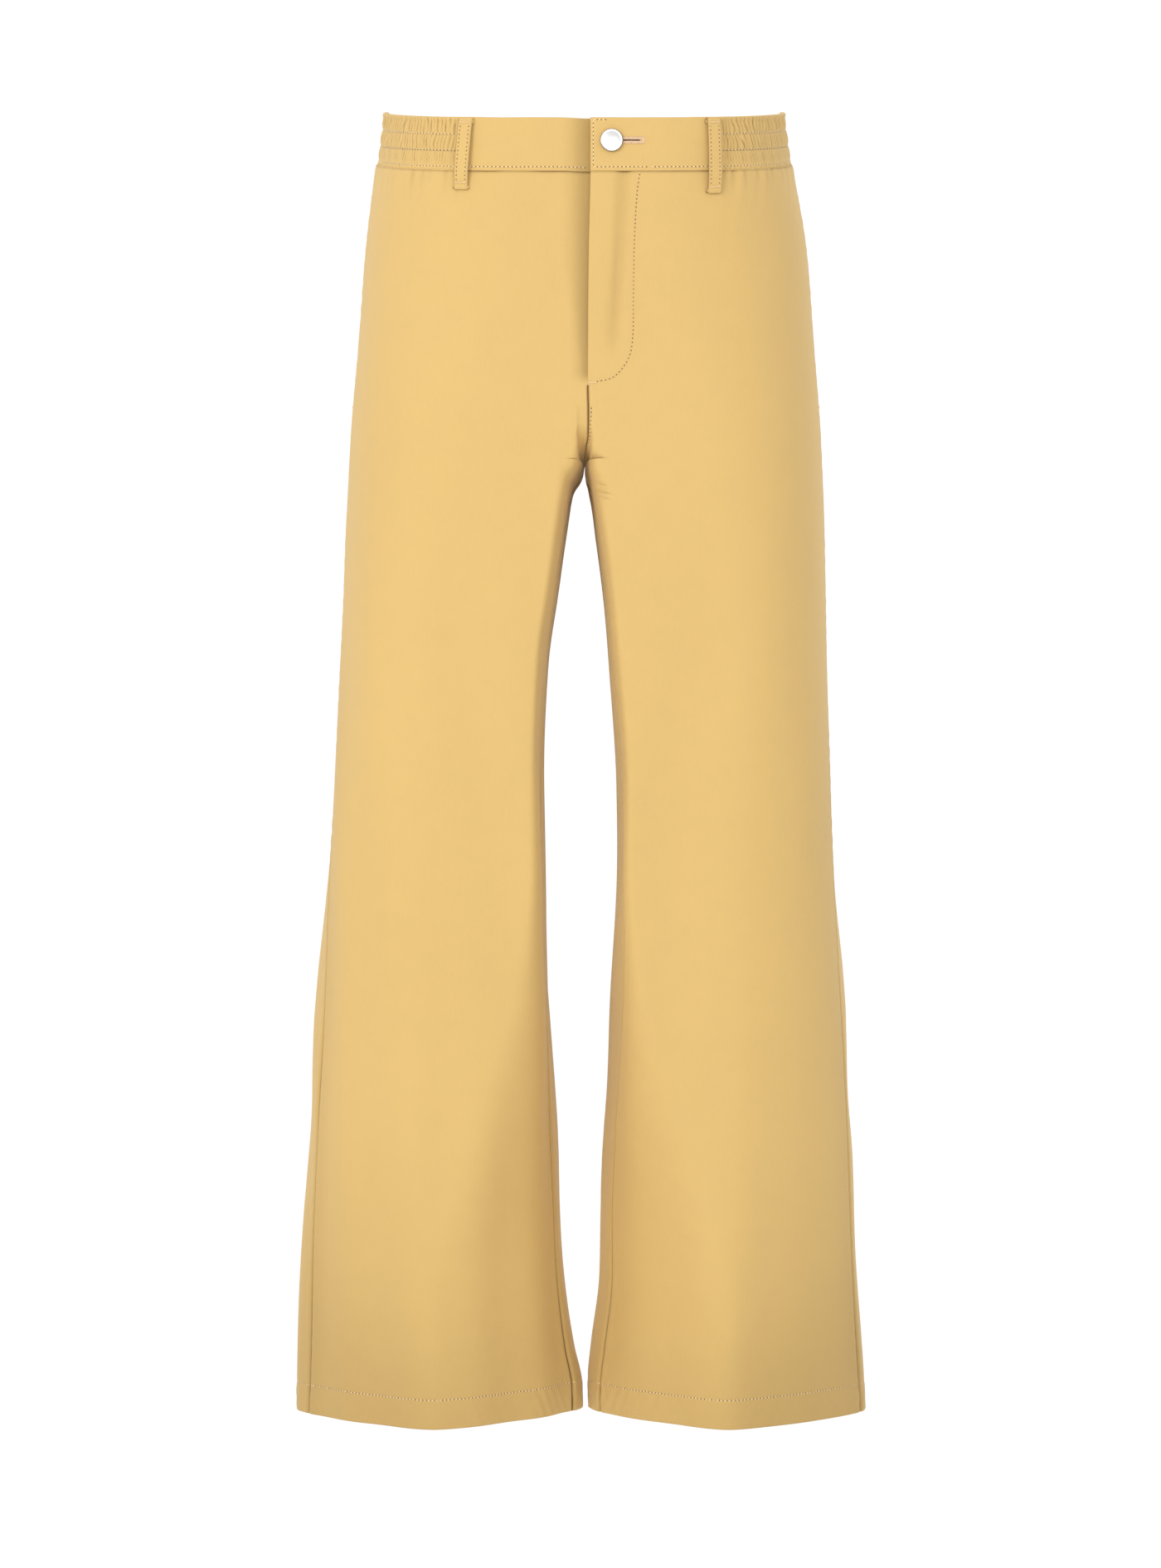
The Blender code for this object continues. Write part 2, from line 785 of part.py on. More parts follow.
def make_belt_loops(materials):
    half = half_round()
    twill = materials["twill"]
    loops = (
        ("belt_loop_front_right", -88.2 * MM, 55 * MM),
        ("belt_loop_front_left", 98 * MM, 58 * MM),
        ("belt_loop_back_right", -(half - 99 * MM), 56 * MM),
        ("belt_loop_back_left", half - 99 * MM, 56 * MM),
        ("belt_loop_back_centre", half, 56 * MM),
    )
    for name, arc, length in loops:
        belt_loop(name, arc, length, twill)


# Fly

FLY_SHEET_HEIGHTS = (-85, -120, -155, -190, -198, -205, -211, -216, -219.5, -222)


def fly_sheet(name, near, far, margin, top, made_of, edge=FLAP_EDGE):
    """Cloth that fills the stitched outline of the fly, between two depths behind the front."""
    columns = 8
    outer = []
    inner = []
    foot = FLY_FOOT + margin + SEAM
    heights = [top, *[z * MM for z in FLY_SHEET_HEIGHTS], foot]
    for z in [height for height in heights if height >= foot]:
        limit = flap_limit(z) - margin
        rows = ([], [])
        for arc in spread(edge + margin, limit, columns):
            share = front_share("left", z, arc)
            for row, inset in zip(rows, (near, far)):
                row.append(surface("left", z, share, inset))
        outer.append(rows[0])
        inner.append(rows[1])
    return grid_solid(name, outer, inner, made_of)


def bent_strip(name, line, thick, top, bottom, made_of):
    """A long strip whose section follows a line of (x, y) points and is as thick as given."""
    front = [(x, y - thick / 2) for x, y in line]
    back = [(x, y + thick / 2) for x, y in reversed(line)]
    return prism(name, front + back, bottom, top, 2, made_of)


def zip_chain(name, toward, offset, made_of):
    """One half of the chain: a bead with teeth that reach between the other half's teeth."""
    bead = 0.9 * MM
    back = 2.1 * MM
    tip = -0.6 * MM
    top = SLIDER_TOP - 0.6 * MM
    first_tooth = SLIDER_TOP - 4.6 * MM - offset
    outline = [(back, top), (bead, top)]
    z = first_tooth
    while z - TOOTH_HEIGHT > ZIP_END + 1 * MM:
        outline += [(bead, z), (tip, z), (tip, z - TOOTH_HEIGHT), (bead, z - TOOTH_HEIGHT)]
        z -= TOOTH_PITCH
    outline += [(bead, ZIP_END), (back, ZIP_END)]
    placed = [(ZIP_X + toward * x, z) for x, z in outline]
    low = ZIP_Y - CHAIN_THICK / 2
    return prism(name, placed, low, low + CHAIN_THICK, 1, made_of)


def make_zip(materials):
    tape = materials["tape"]
    brass = materials["brass"]
    edge = 2.4 * MM
    flat = 5 * MM
    width = 14 * MM
    top = ZIP_TOP + 1.5 * MM
    right_line = (
        (ZIP_X - width, ZIP_Y - 2.7 * MM),
        (ZIP_X - flat, ZIP_Y),
        (ZIP_X - edge, ZIP_Y),
    )
    left_line = (
        (ZIP_X + edge, ZIP_Y),
        (ZIP_X + flat, ZIP_Y),
        (ZIP_X + width, ZIP_Y - 4.3 * MM),
    )
    bent_strip("zip_tape_right", right_line, TAPE_THICK, top, ZIP_END - 2 * MM, tape)
    bent_strip("zip_tape_left", left_line, TAPE_THICK, top, ZIP_END + 20 * MM, tape)
    zip_chain("zip_chain_right", -1, 0, brass)
    zip_chain("zip_chain_left", 1, TOOTH_PITCH / 2, brass)
    for side in SIGN:
        x = ZIP_X + SIGN[side] * 1.5 * MM
        low = (x - 0.7 * MM, ZIP_Y - 1.1 * MM, ZIP_TOP - 1.9 * MM)
        high = (x + 0.7 * MM, ZIP_Y + 1.1 * MM, ZIP_TOP + 0.9 * MM)
        box(f"zip_top_stop_{side}", low, high, brass)
    low = (ZIP_X - 2.6 * MM, ZIP_Y - 1.3 * MM, ZIP_END - 3.4 * MM)
    high = (ZIP_X + 2.6 * MM, ZIP_Y + 1.3 * MM, ZIP_END - GAP)
    stop = box("zip_bottom_stop", low, high, brass)
    slot = box(
        "zip_bottom_stop_slot",
        (ZIP_X - 4 * MM, ZIP_Y - 0.6 * MM, ZIP_END - 5 * MM),
        (ZIP_X - 1.2 * MM, ZIP_Y + 0.6 * MM, ZIP_END + 1 * MM),
        None,
    )
    cut(stop, slot)


def slider_plate(name, low_y, high_y, made_of):
    """One wing of the slider, wide at its top where the two halves of the chain part."""
    half_top = 4.6 * MM
    half_foot = 3.9 * MM
    foot = SLIDER_TOP - SLIDER_LENGTH
    outline = (
        (ZIP_X - half_top, SLIDER_TOP - 1 * MM),
        (ZIP_X - half_top + 1 * MM, SLIDER_TOP),
        (ZIP_X + half_top - 1 * MM, SLIDER_TOP),
        (ZIP_X + half_top, SLIDER_TOP - 1 * MM),
        (ZIP_X + half_foot, foot + 1 * MM),
        (ZIP_X + half_foot - 1 * MM, foot),
        (ZIP_X - half_foot + 1 * MM, foot),
        (ZIP_X - half_foot, foot + 1 * MM),
    )
    return prism(name, outline, low_y, high_y, 1, made_of)


def make_slider(materials, mover):
    """Two wings joined by a post, with flanges along their sides and an arch for the pull."""
    nickel = materials["nickel"]
    front_low = ZIP_Y - 2.1 * MM
    front_high = ZIP_Y - 1.3 * MM
    back_low = ZIP_Y + 1.3 * MM
    back_high = ZIP_Y + 2.1 * MM
    slider = slider_plate("zip_slider", front_low, front_high, nickel)
    pieces = [slider_plate("slider_back", back_low, back_high, nickel)]
    reach = 0.2 * MM
    post_low = (ZIP_X - 0.5 * MM, front_high - reach, SLIDER_TOP - 3.6 * MM)
    post_high = (ZIP_X + 0.5 * MM, back_low + reach, SLIDER_TOP - 0.4 * MM)
    pieces.append(box("slider_post", post_low, post_high, nickel))
    for toward in (-1, 1):
        near = ZIP_X + toward * 3.1 * MM
        far = ZIP_X + toward * 3.8 * MM
        for face, (low_y, high_y) in enumerate(
            ((front_high - reach, ZIP_Y - 0.6 * MM), (ZIP_Y + 0.6 * MM, back_low + reach))
        ):
            low = (min(near, far), low_y, SLIDER_TOP - SLIDER_LENGTH + 1.3 * MM)
            high = (max(near, far), high_y, SLIDER_TOP - 1.3 * MM)
            pieces.append(box(f"slider_flange_{toward}_{face}", low, high, nickel))
    arch_half = 0.7 * MM
    arch_top = SLIDER_TOP - 0.8 * MM
    arch_foot = SLIDER_TOP - 8 * MM
    out = front_low - 2.6 * MM
    clear = front_low - 1.8 * MM
    arch = (
        (front_low + reach, arch_top),
        (out, arch_top),
        (out, arch_foot),
        (front_low + reach, arch_foot),
        (front_low + reach, arch_foot + 0.9 * MM),
        (clear, arch_foot + 0.9 * MM),
        (clear, arch_top - 0.9 * MM),
        (front_low + reach, arch_top - 0.9 * MM),
    )
    pieces.append(prism("slider_arch", arch, ZIP_X - arch_half, ZIP_X + arch_half, 0, nickel))
    join(slider, pieces)
    for thing in (slider, *pieces):
        thing.parent = mover


PULL_Y = ZIP_Y - 3.0 * MM
PULL_Z = SLIDER_TOP - 3.2 * MM


def make_pull(materials, mover):
    """A tab that hangs from a bar under the slider's arch."""
    half = 2.7 * MM
    bar = 0.5 * MM
    length = 24 * MM
    taper = 0.5 * MM
    outline = (
        (-half + 0.8 * MM, bar),
        (half - 0.8 * MM, bar),
        (half, bar - 1 * MM),
        (half - taper, -length + 1 * MM),
        (half - taper - 1 * MM, -length),
        (-half + taper + 1 * MM, -length),
        (-half + taper, -length + 1 * MM),
        (-half, bar - 1 * MM),
    )
    pull = prism("zip_pull", outline, -bar, bar, 1, materials["nickel"])
    window = box(
        "zip_pull_window", (-1.3 * MM, -2 * MM, -6.5 * MM), (1.3 * MM, 2 * MM, -bar), None
    )
    ring = circle_points(0, -length + 4 * MM, 1.2 * MM, 12)
    hole = prism("zip_pull_hole", ring, -2 * MM, 2 * MM, 1, None)
    for cutter in (window, hole):
        cutter.parent = mover
        cut(pull, cutter)
    pull.parent = mover


def make_fly(materials):
    twill = materials["twill"]
    top = front_height(-BAND_HEIGHT - BAND_SEAM)
    fly_sheet("fly_flap", 0, CLOTH, 0, top, twill)
    near = CLOTH + FACING_GAP
    fly_sheet("fly_facing", near, near + FACING, 0.8 * MM, top, twill)
    shield = (
        (3 * MM, -104.9 * MM),
        (14 * MM, -101.3 * MM),
        (UNDERLAP_END, -100.6 * MM),
    )
    bent_strip("fly_shield", shield, CLOTH, top - 0.5 * MM, FLY_FOOT - 4 * MM, twill)
    make_zip(materials)


# Button


def turned(name, profile, count, made_of):
    """A round solid about the Y axis, from (radius, y) points that start and end on the axis."""
    vertices = [Vector((0, profile[0][1], 0))]
    rings = profile[1:-1]
    for radius, y in rings:
        for i in range(count):
            angle = 2 * math.pi * i / count
            vertices.append(Vector((radius * math.cos(angle), y, radius * math.sin(angle))))
    vertices.append(Vector((0, profile[-1][1], 0)))
    end = len(vertices) - 1
    faces = []
    for i in range(count):
        after = (i + 1) % count
        faces.append((0, 1 + after, 1 + i))
        last = 1 + (len(rings) - 1) * count
        faces.append((end, last + i, last + after))
        for r in range(len(rings) - 1):
            a = 1 + r * count
            faces.append((a + i, a + after, a + count + after, a + count + i))
    return finish(name, vertices, faces, made_of)


def make_button(materials, mover):
    """A domed cap with a rolled rim that turns on a stud riveted through the underlap."""
    radius = BUTTON_RADIUS
    back = -1.5 * MM
    rim = -3.0 * MM
    crown = -4.2 * MM
    socket = SHANK_RADIUS + GAP
    cap_profile = [
        (0, rim + 0.9 * MM),
        (socket, rim + 0.9 * MM),
        (socket, back),
        (radius - 0.6 * MM, back),
        (radius, back - 0.6 * MM),
        (radius - 0.1 * MM, rim + 0.2 * MM),
        (radius - 0.7 * MM, rim - 0.2 * MM),
        (radius - 1.3 * MM, rim + 0.1 * MM),
        (radius - 2.6 * MM, rim - 0.6 * MM),
        (radius * 0.35, crown + 0.15 * MM),
        (0, crown),
    ]
    cap = turned("button_cap", cap_profile, 32, materials["nickel"])
    cap.parent = mover
    plate = 4.6 * MM
    surface_y = -FRONT_DEPTH
    stud_profile = [
        (0, rim + 0.9 * MM + GAP),
        (SHANK_RADIUS, rim + 0.9 * MM + GAP),
        (SHANK_RADIUS, 5.6 * MM),
        (plate, 5.6 * MM),
        (plate - 0.4 * MM, 6.4 * MM),
        (0, 6.6 * MM),
    ]
    stud = turned("button_stud", stud_profile, 24, materials["brass"])
    stud.location = (BUTTON_X, surface_y, BUTTON_Z)


def make_buttonhole(materials):
    """The worked thread edge round the long hole."""
    outer = slot_points(1.3 * MM)
    low = -FRONT_DEPTH - 1.0 * MM
    thread = prism("buttonhole_edge", outer, low, low + 0.5 * MM, 1, materials["thread"])
    cut(thread, slot_cutter("buttonhole_edge_slot"))


# Pockets


def pocket_bag(side, made_of):
    """A flat bag behind the front, hung from the waist seam and the side seam."""
    rows = ([], [])
    for level, width in BAG_WIDTHS:
        z = level * MM
        length = front_length(side, z)
        for row, inset in zip(rows, (BAG_INSET, BAG_INSET + BAG_THICK)):
            shares = spread(4 * MM / length, width * MM / length, 9)
            row.append([level_surface(side, z, share, inset) for share in shares])
    return grid_solid(f"pocket_bag_{side}", rows[0], rows[1], made_of)


def back_share(side, z, arc):
    """The share at an arc from centre back."""
    return -1 + arc / half_lengths(side, z)[1]


def back_patch(name, side, arcs, levels, depths, made_of):
    """A sheet that follows the back between two arcs and two depths."""
    rows = ([], [])
    for level in levels:
        for row, inset in zip(rows, depths):
            shares = [back_share(side, level, arc) for arc in spread(*arcs, 8)]
            row.append([level_surface(side, level, share, inset) for share in shares])
    return grid_solid(name, rows[0], rows[1], made_of)


def make_pockets(materials):
    lining = materials["lining"]
    bag_depths = (BAG_INSET, BAG_INSET + BAG_THICK)
    bag_levels = spread(*BACK_BAG_LEVELS, 6)
    welt_depths = (-1.1 * MM, -GAP)
    for side in SIGN:
        pocket_bag(side, lining)
        welt = f"back_welt_{side}"
        back_patch(welt, side, WELT_ARCS, WELT_LEVELS, welt_depths, materials["twill"])
        bag = f"back_pocket_bag_{side}"
        back_patch(bag, side, BACK_BAG_ARCS, bag_levels, bag_depths, lining)


def empty(name, place):
    made = bpy.data.objects.new(name, None)
    bpy.context.scene.collection.objects.link(made)
    made.location = place
    return made


def main():
    clear_scene()
    materials = make_materials()
    for side in SIGN:
        front_panel(side, materials["twill"])
        back_panel(side, materials["twill"])
        hem_fold(side, materials["twill"])
    make_waistband(materials)
    make_belt_loops(materials)
    make_fly(materials)
    make_pockets(materials)
    make_slider(materials, empty("slider_mover", (0, 0, 0)))
    make_pull(materials, empty("pull_mover", (ZIP_X, PULL_Y, PULL_Z)))
    make_button(materials, empty("button_mover", (BUTTON_X, -FRONT_DEPTH, BUTTON_Z)))
    make_buttonhole(materials)


main()
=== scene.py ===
"""The looks of the wide-leg trousers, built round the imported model.

Metres, +Z up. +X is the wearer's left, and -Y is the front. Every sheet of cloth follows one body
surface, which is the one the solids follow, and is moved along its normal by seams, stitching,
gathers and folds.
"""

import math

import bmesh
import bpy
import numpy as np
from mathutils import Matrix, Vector


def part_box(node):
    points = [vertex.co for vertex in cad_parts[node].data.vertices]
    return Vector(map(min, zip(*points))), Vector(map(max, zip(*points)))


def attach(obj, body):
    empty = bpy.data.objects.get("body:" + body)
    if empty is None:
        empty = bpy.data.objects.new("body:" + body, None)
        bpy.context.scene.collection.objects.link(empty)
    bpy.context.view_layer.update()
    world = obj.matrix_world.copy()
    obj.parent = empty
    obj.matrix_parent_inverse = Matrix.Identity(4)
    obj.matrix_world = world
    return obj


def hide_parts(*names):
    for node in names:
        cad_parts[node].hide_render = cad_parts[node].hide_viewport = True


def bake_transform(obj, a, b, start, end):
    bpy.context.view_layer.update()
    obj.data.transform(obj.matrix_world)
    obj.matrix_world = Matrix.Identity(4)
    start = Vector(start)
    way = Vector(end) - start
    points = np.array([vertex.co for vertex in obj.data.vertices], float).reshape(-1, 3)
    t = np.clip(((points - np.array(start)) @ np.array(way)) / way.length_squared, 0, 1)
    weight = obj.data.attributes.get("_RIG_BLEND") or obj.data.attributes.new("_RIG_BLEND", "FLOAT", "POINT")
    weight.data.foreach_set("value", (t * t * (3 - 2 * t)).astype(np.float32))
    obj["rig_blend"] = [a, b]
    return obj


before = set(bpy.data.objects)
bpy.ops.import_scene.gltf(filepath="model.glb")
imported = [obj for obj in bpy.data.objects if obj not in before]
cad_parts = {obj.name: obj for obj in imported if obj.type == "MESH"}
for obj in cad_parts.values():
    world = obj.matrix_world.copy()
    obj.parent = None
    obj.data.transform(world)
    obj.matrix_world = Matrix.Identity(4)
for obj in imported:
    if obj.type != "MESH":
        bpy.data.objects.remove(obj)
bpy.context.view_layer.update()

MM = 0.001

# Heights, as the solids have them.
BAND_HEIGHT = 40 * MM
BAND_SHADOW = -BAND_HEIGHT - 0.3 * MM  # the level of the shadow painted as a dark line under the waistband
CROTCH = -282 * MM
HEM = -1020 * MM
HEM_DEPTH = 22 * MM

# Outline at each height: z, then how far the right leg's outer and inner sides and the
# left leg's outer and inner sides stand from the middle plane, all in millimetres.
OUTLINE = (
    (20, 155, 0, 155, 0),
    (0, 157, 0, 157, 0),
    (-40, 163, 0, 163, 0),
    (-110, 172, 0, 175, 0),
    (-180, 177, 0, 180, 0),
    (-250, 183, 0, 185.5, 0),
    (-282, 184.6, 0.4, 187, 0.4),
    (-300, 185.5, 9, 187.8, 4),
    (-330, 187.3, 14, 188.6, 8.2),
    (-375, 188.8, 20.2, 189.3, 14),
    (-435, 191.7, 28.7, 190.3, 19.5),
    (-530, 196.5, 32.8, 194, 26.8),
    (-630, 204.6, 31.3, 199, 24.8),
    (-725, 211.5, 25.5, 205.5, 21),
    (-800, 217, 21.7, 210, 15.5),
    (-870, 221, 18, 213, 12),
    (-920, 222.8, 13.5, 215.5, 10),
    (-970, 224.2, 7, 218.7, 3.8),
    (-1000, 225.4, 1.6, 220.7, 0.8),
    (-1030, 226.4, 1.2, 222.4, 0.8),
)
# Depth of the front and of the back from the side seams' plane, in millimetres.
DEPTHS = (
    (20, 112, 110),
    (0, 112, 112),
    (-40, 112, 116),
    (-110, 112, 126),
    (-180, 112, 134),
    (-250, 112, 133),
    (-330, 110, 122),
    (-435, 105, 114),
    (-530, 101, 108),
    (-725, 94, 98),
    (-870, 91, 94),
    (-1030, 90, 92),
)
# How far forward of the leg's outer and inner extremes its seams run, in millimetres.
OUTSEAM = {
    "right": (
        (0, 0), (-250, 0), (-400, 5), (-514, 17), (-560, 24),
        (-629, 32), (-680, 34), (-800, 29), (-900, 24.5), (-1030, 22.5),
    ),
    "left": (
        (0, 0), (-250, 0), (-400, 8), (-484, 20), (-555, 29),
        (-680, 25), (-800, 19.5), (-900, 16), (-1030, 13.5),
    ),
}
INSEAM = {
    "right": (
        (0, 0), (-282, 0), (-300, 40), (-322, 78), (-350, 95), (-374, 100),
        (-400, 92), (-430, 77), (-450, 72), (-500, 70), (-575, 78), (-625, 77),
        (-690, 64), (-726, 55), (-800, 36), (-870, 23), (-1030, 19),
    ),
    "left": (
        (0, 0), (-282, 0), (-297, 50), (-315, 90), (-340, 103), (-370, 104),
        (-400, 103), (-450, 100), (-500, 96), (-575, 99), (-625, 98), (-690, 87),
        (-726, 75), (-800, 48), (-870, 32), (-1030, 25),
    ),
}
SIGN = {"right": -1, "left": 1}
COLUMN = {"right": 1, "left": 3}
OTHER = {"right": "left", "left": "right"}

FRONT_DEPTH = 112 * MM
INNER_Y = 10 * MM
CURVE_TOP = {"front": -215 * MM, "back": -150 * MM}
CROTCH_POWER = {"front": 4.6, "back": 2.2}
LEG_START = -100 * MM
ROUNDNESS = 0.6
HEM_ROUNDNESS = 0.24  # by the hems, where the legs hang flat towards their sides
HEM_SHAPE_FROM = -500 * MM
INNER_ROUNDNESS = {"front": (1.0, 0.7), "back": (0.8, 0.8)}
INNER_SQUARE_DOWN_TO = -580 * MM
INNER_SETTLED = -940 * MM
INNER_FLAT = 0.88
FLAT_SHARE = 0.32
TILT_FRONT = 0.223
TILT_BACK = 0.05
TILT_END = -250 * MM

# Fly, as arcs from centre front and heights.
FLAP_EDGE = 4.4 * MM
FLY_FOOT = -224 * MM
BEND_FROM = 49.5 * MM  # where the cloth of the flap starts to follow the fly
BEND_TO = 42 * MM
FLAP_PIECE_FOOT = -238 * MM
FLY_OPENS_BY = -120 * MM  # the height above which the whole flap follows the fly
UNDERLAP_END = 46 * MM
PANEL_UNDERLAP_END = 12 * MM

# Waistband, as arcs from centre front or centre back.
ELASTIC_FROM = {"right": 93.5 * MM, "left": 103.5 * MM}
ELASTIC_BACK = 105 * MM
TRUE_ARC = 110 * MM
ELASTIC_STACK = 1.9 * MM  # what the elastic adds to the thickness
BAND_JOIN = 49.5 * MM  # where the left part begins beside the tab
CHANNELS = (0, -12.4 * MM, -24.8 * MM, -37 * MM)  # the levels between which the elastic is sewn

# Cloth.
CLOTH = 0.7 * MM
SEAM_DIP = 1.7 * MM
SEAM_HALF = 1.9 * MM
SEAM_SHADE = 0.75 * MM  # how wide the painted shade line of a seam is
STITCH = 2.3 * MM
STITCH_GAP = 0.8 * MM
THREAD = 0.25 * MM
HOLE = 0.5 * MM
SEAM_STITCH = 2.3 * MM  # from a seam to the stitching beside it


# Curves and the body surface


def unit(vectors):
    return vectors / np.maximum(np.linalg.norm(vectors, axis=-1, keepdims=True), 1e-12)


def smooth_kernel(reach, steps):
    """The weights of a running mean in the shape of a bell."""
    kernel = np.exp(-0.5 * (np.arange(-steps, steps + 1) / reach) ** 2)
    return kernel / kernel.sum()


def lengths_along(points):
    """The distance from the first of a line's points to each."""
    return np.concatenate([[0], np.cumsum(np.linalg.norm(np.diff(points, axis=0), axis=1))])


def between(table, row, column, u, v):
    """The value of a table between a row and the next and between a column and the next."""
    low = table[row, column] * (1 - v) + table[row, column + 1] * v
    high = table[row + 1, column] * (1 - v) + table[row + 1, column + 1] * v
    return low * (1 - u) + high * u


def stacked(*parts):
    return np.stack(np.broadcast_arrays(*parts), axis=-1)


def smoothstep(low, high, value):
    share = np.clip((np.asarray(value, float) - low) / (high - low), 0.0, 1.0)
    return share * share * (3 - 2 * share)


def ease(low, high, value):
    """A smooth step between places in millimetres, of a value in metres."""
    return smoothstep(low * MM, high * MM, value)


def slopes_of(x, y):
    """Slopes of a curve through the points that never overshoots them."""
    width = np.diff(x)
    rise = np.diff(y) / width
    slopes = np.zeros(len(x))
    slopes[0] = rise[0]
    slopes[-1] = rise[-1]
    for i in range(1, len(x) - 1):
        if rise[i - 1] * rise[i] > 0:
            first = 2 * width[i] + width[i - 1]
            second = width[i] + 2 * width[i - 1]
            slopes[i] = (first + second) / (first / rise[i - 1] + second / rise[i])
    return slopes


class Curve:
    """A smooth curve through the rows (z, value) of a table in millimetres."""

    def __init__(self, rows):
        points = sorted((row[0] * MM, row[1] * MM) for row in rows)
        self.x = np.array([point[0] for point in points])
        self.y = np.array([point[1] for point in points])
        self.slope = slopes_of(self.x, self.y)

    def __call__(self, z):
        z = np.clip(z, self.x[0], self.x[-1])
        i = np.clip(np.searchsorted(self.x, z) - 1, 0, len(self.x) - 2)
        width = self.x[i + 1] - self.x[i]
        t = (z - self.x[i]) / width
        start = (1 + 2 * t) * (1 - t) ** 2 * self.y[i] + t * (1 - t) ** 2 * width * self.slope[i]
        end = t * t * (3 - 2 * t) * self.y[i + 1] + t * t * (t - 1) * width * self.slope[i + 1]
        return start + end


STEP = 1 * MM
LOWEST = -1034 * MM
EVEN_HEIGHTS = LOWEST + STEP * np.arange(1058)
# Above the crotch the curve of the seat turns level, so the heights lie closer together there.
CROTCH_HEIGHTS = CROTCH + 6 * MM * np.linspace(0, 1, 14)[1:-1] ** 2
HEIGHTS = np.unique(np.round(np.concatenate([EVEN_HEIGHTS, CROTCH_HEIGHTS]), 7))
SHARES = np.linspace(0, 1, 241)


def softened(curve, reach=14):
    """The curve at every height, with its kinks rounded off over a reach in steps."""
    values = curve(EVEN_HEIGHTS)
    before = 2 * values[0] - values[3 * reach : 0 : -1]
    after = 2 * values[-1] - values[-2 : -3 * reach - 2 : -1]
    padded = np.concatenate([before, values, after])
    smooth = np.convolve(padded, smooth_kernel(reach, 3 * reach), "valid")
    return np.interp(HEIGHTS, EVEN_HEIGHTS, smooth)


def bezier(controls):
    """Points along a cubic for every height, from four control points of arrays."""
    t = np.linspace(0, 1, 60)
    weights = ((1 - t) ** 3, 3 * t * (1 - t) ** 2, 3 * t**2 * (1 - t), t**3)
    points = 0
    for weight, (x, y) in zip(weights, controls):
        points = points + weight[None, :, None] * stacked(x, y)[:, None, :]
    return points


class Body:
    """The surface of one side, as points by height and by share of the front or back half.

    A share is 0 at the outer extreme, 1 at the front's inner end and -1 at the back's.
    """

    def __init__(self, side):
        self.sign = SIGN[side]
        column = COLUMN[side]
        self.outer = softened(Curve([(row[0], row[column]) for row in OUTLINE]))
        self.inner = Curve([(row[0], row[column + 1]) for row in OUTLINE])(HEIGHTS)
        self.tables = {}
        self.lengths = {}
        for column, face in enumerate(("front", "back")):
            depth = softened(Curve([(row[0], row[column + 1]) for row in DEPTHS]))
            self.tables[face], self.lengths[face] = self.half(face, depth)

    def half(self, face, depth):
        zero = np.zeros_like(depth)
        toward = -1 if face == "front" else 1
        top = CURVE_TOP[face]
        power = CROTCH_POWER[face]
        drop = np.clip((top - HEIGHTS) / (top - CROTCH), 0, 1)
        turned = 1 - (1 - drop**power) ** (1 / power)
        reach = depth + INNER_Y if face == "front" else depth - INNER_Y
        settled = smoothstep(LEG_START, CROTCH, HEIGHTS)
        middle = (self.outer + self.inner) / 2
        crest_x = (1 - settled) * FLAT_SHARE * self.outer + settled * middle
        by_hem = smoothstep(HEM_SHAPE_FROM, HEM, HEIGHTS)
        side_roundness = ROUNDNESS + (HEM_ROUNDNESS - ROUNDNESS) * by_hem
        square = smoothstep(INNER_SETTLED, INNER_SQUARE_DOWN_TO, HEIGHTS)
        face_roundness, wall_roundness = (
            side_roundness + (value - side_roundness) * square for value in INNER_ROUNDNESS[face]
        )
        turn_x = crest_x - (face == "front") * INNER_FLAT * square * (crest_x - self.inner)
        across = face_roundness * (turn_x - self.inner)
        end_y = toward * (depth - reach * turned)
        side_arc = (
            (self.outer, zero),
            (self.outer, toward * side_roundness * depth),
            (crest_x + side_roundness * (self.outer - crest_x), toward * depth),
            (crest_x, toward * depth),
        )
        inner_arc = (
            (turn_x, toward * depth),
            (turn_x - across, toward * depth),
            (self.inner + across * (1 - turned), end_y + toward * wall_roundness * reach * turned),
            (self.inner, end_y),
        )
        points = np.concatenate([bezier(side_arc), bezier(inner_arc)[:, 1:]], axis=1)
        steps = np.linalg.norm(np.diff(points, axis=1), axis=2)
        along = np.concatenate([np.zeros((len(points), 1)), np.cumsum(steps, axis=1)], axis=1)
        table = np.empty((len(HEIGHTS), len(SHARES), 2))
        for i in range(len(HEIGHTS)):
            for k in range(2):
                table[i, :, k] = np.interp(SHARES * along[i, -1], along[i], points[i, :, k])
        table[..., 0] *= self.sign
        return table, along[:, -1]

    def length(self, face, z):
        return np.interp(z, HEIGHTS, self.lengths[face])

    def point(self, z, share):
        z, share = np.broadcast_arrays(np.asarray(z, float), np.asarray(share, float))
        share = np.where(share < -1, share + 2, np.where(share > 1, share - 2, share))
        row = np.clip(np.searchsorted(HEIGHTS, z) - 1, 0, len(HEIGHTS) - 2)
        u = np.clip((z - HEIGHTS[row]) / (HEIGHTS[row + 1] - HEIGHTS[row]), 0, 1)[..., None]
        place = np.clip(np.abs(share) * (len(SHARES) - 1), 0, len(SHARES) - 1.001)
        column = place.astype(int)
        v = (place - column)[..., None]
        front, back = (between(self.tables[face], row, column, u, v) for face in ("front", "back"))
        flat = np.where((share >= 0)[..., None], front, back)
        return np.concatenate([flat, z[..., None]], axis=-1)


BODY = {side: Body(side) for side in SIGN}
OUTSEAM_AT = {side: Curve(OUTSEAM[side]) for side in SIGN}
INSEAM_AT = {side: Curve(INSEAM[side]) for side in SIGN}
HALF_ROUND = float(BODY["left"].length("front", 0) + BODY["left"].length("back", 0))
ELASTIC_STOP = HALF_ROUND - ELASTIC_BACK


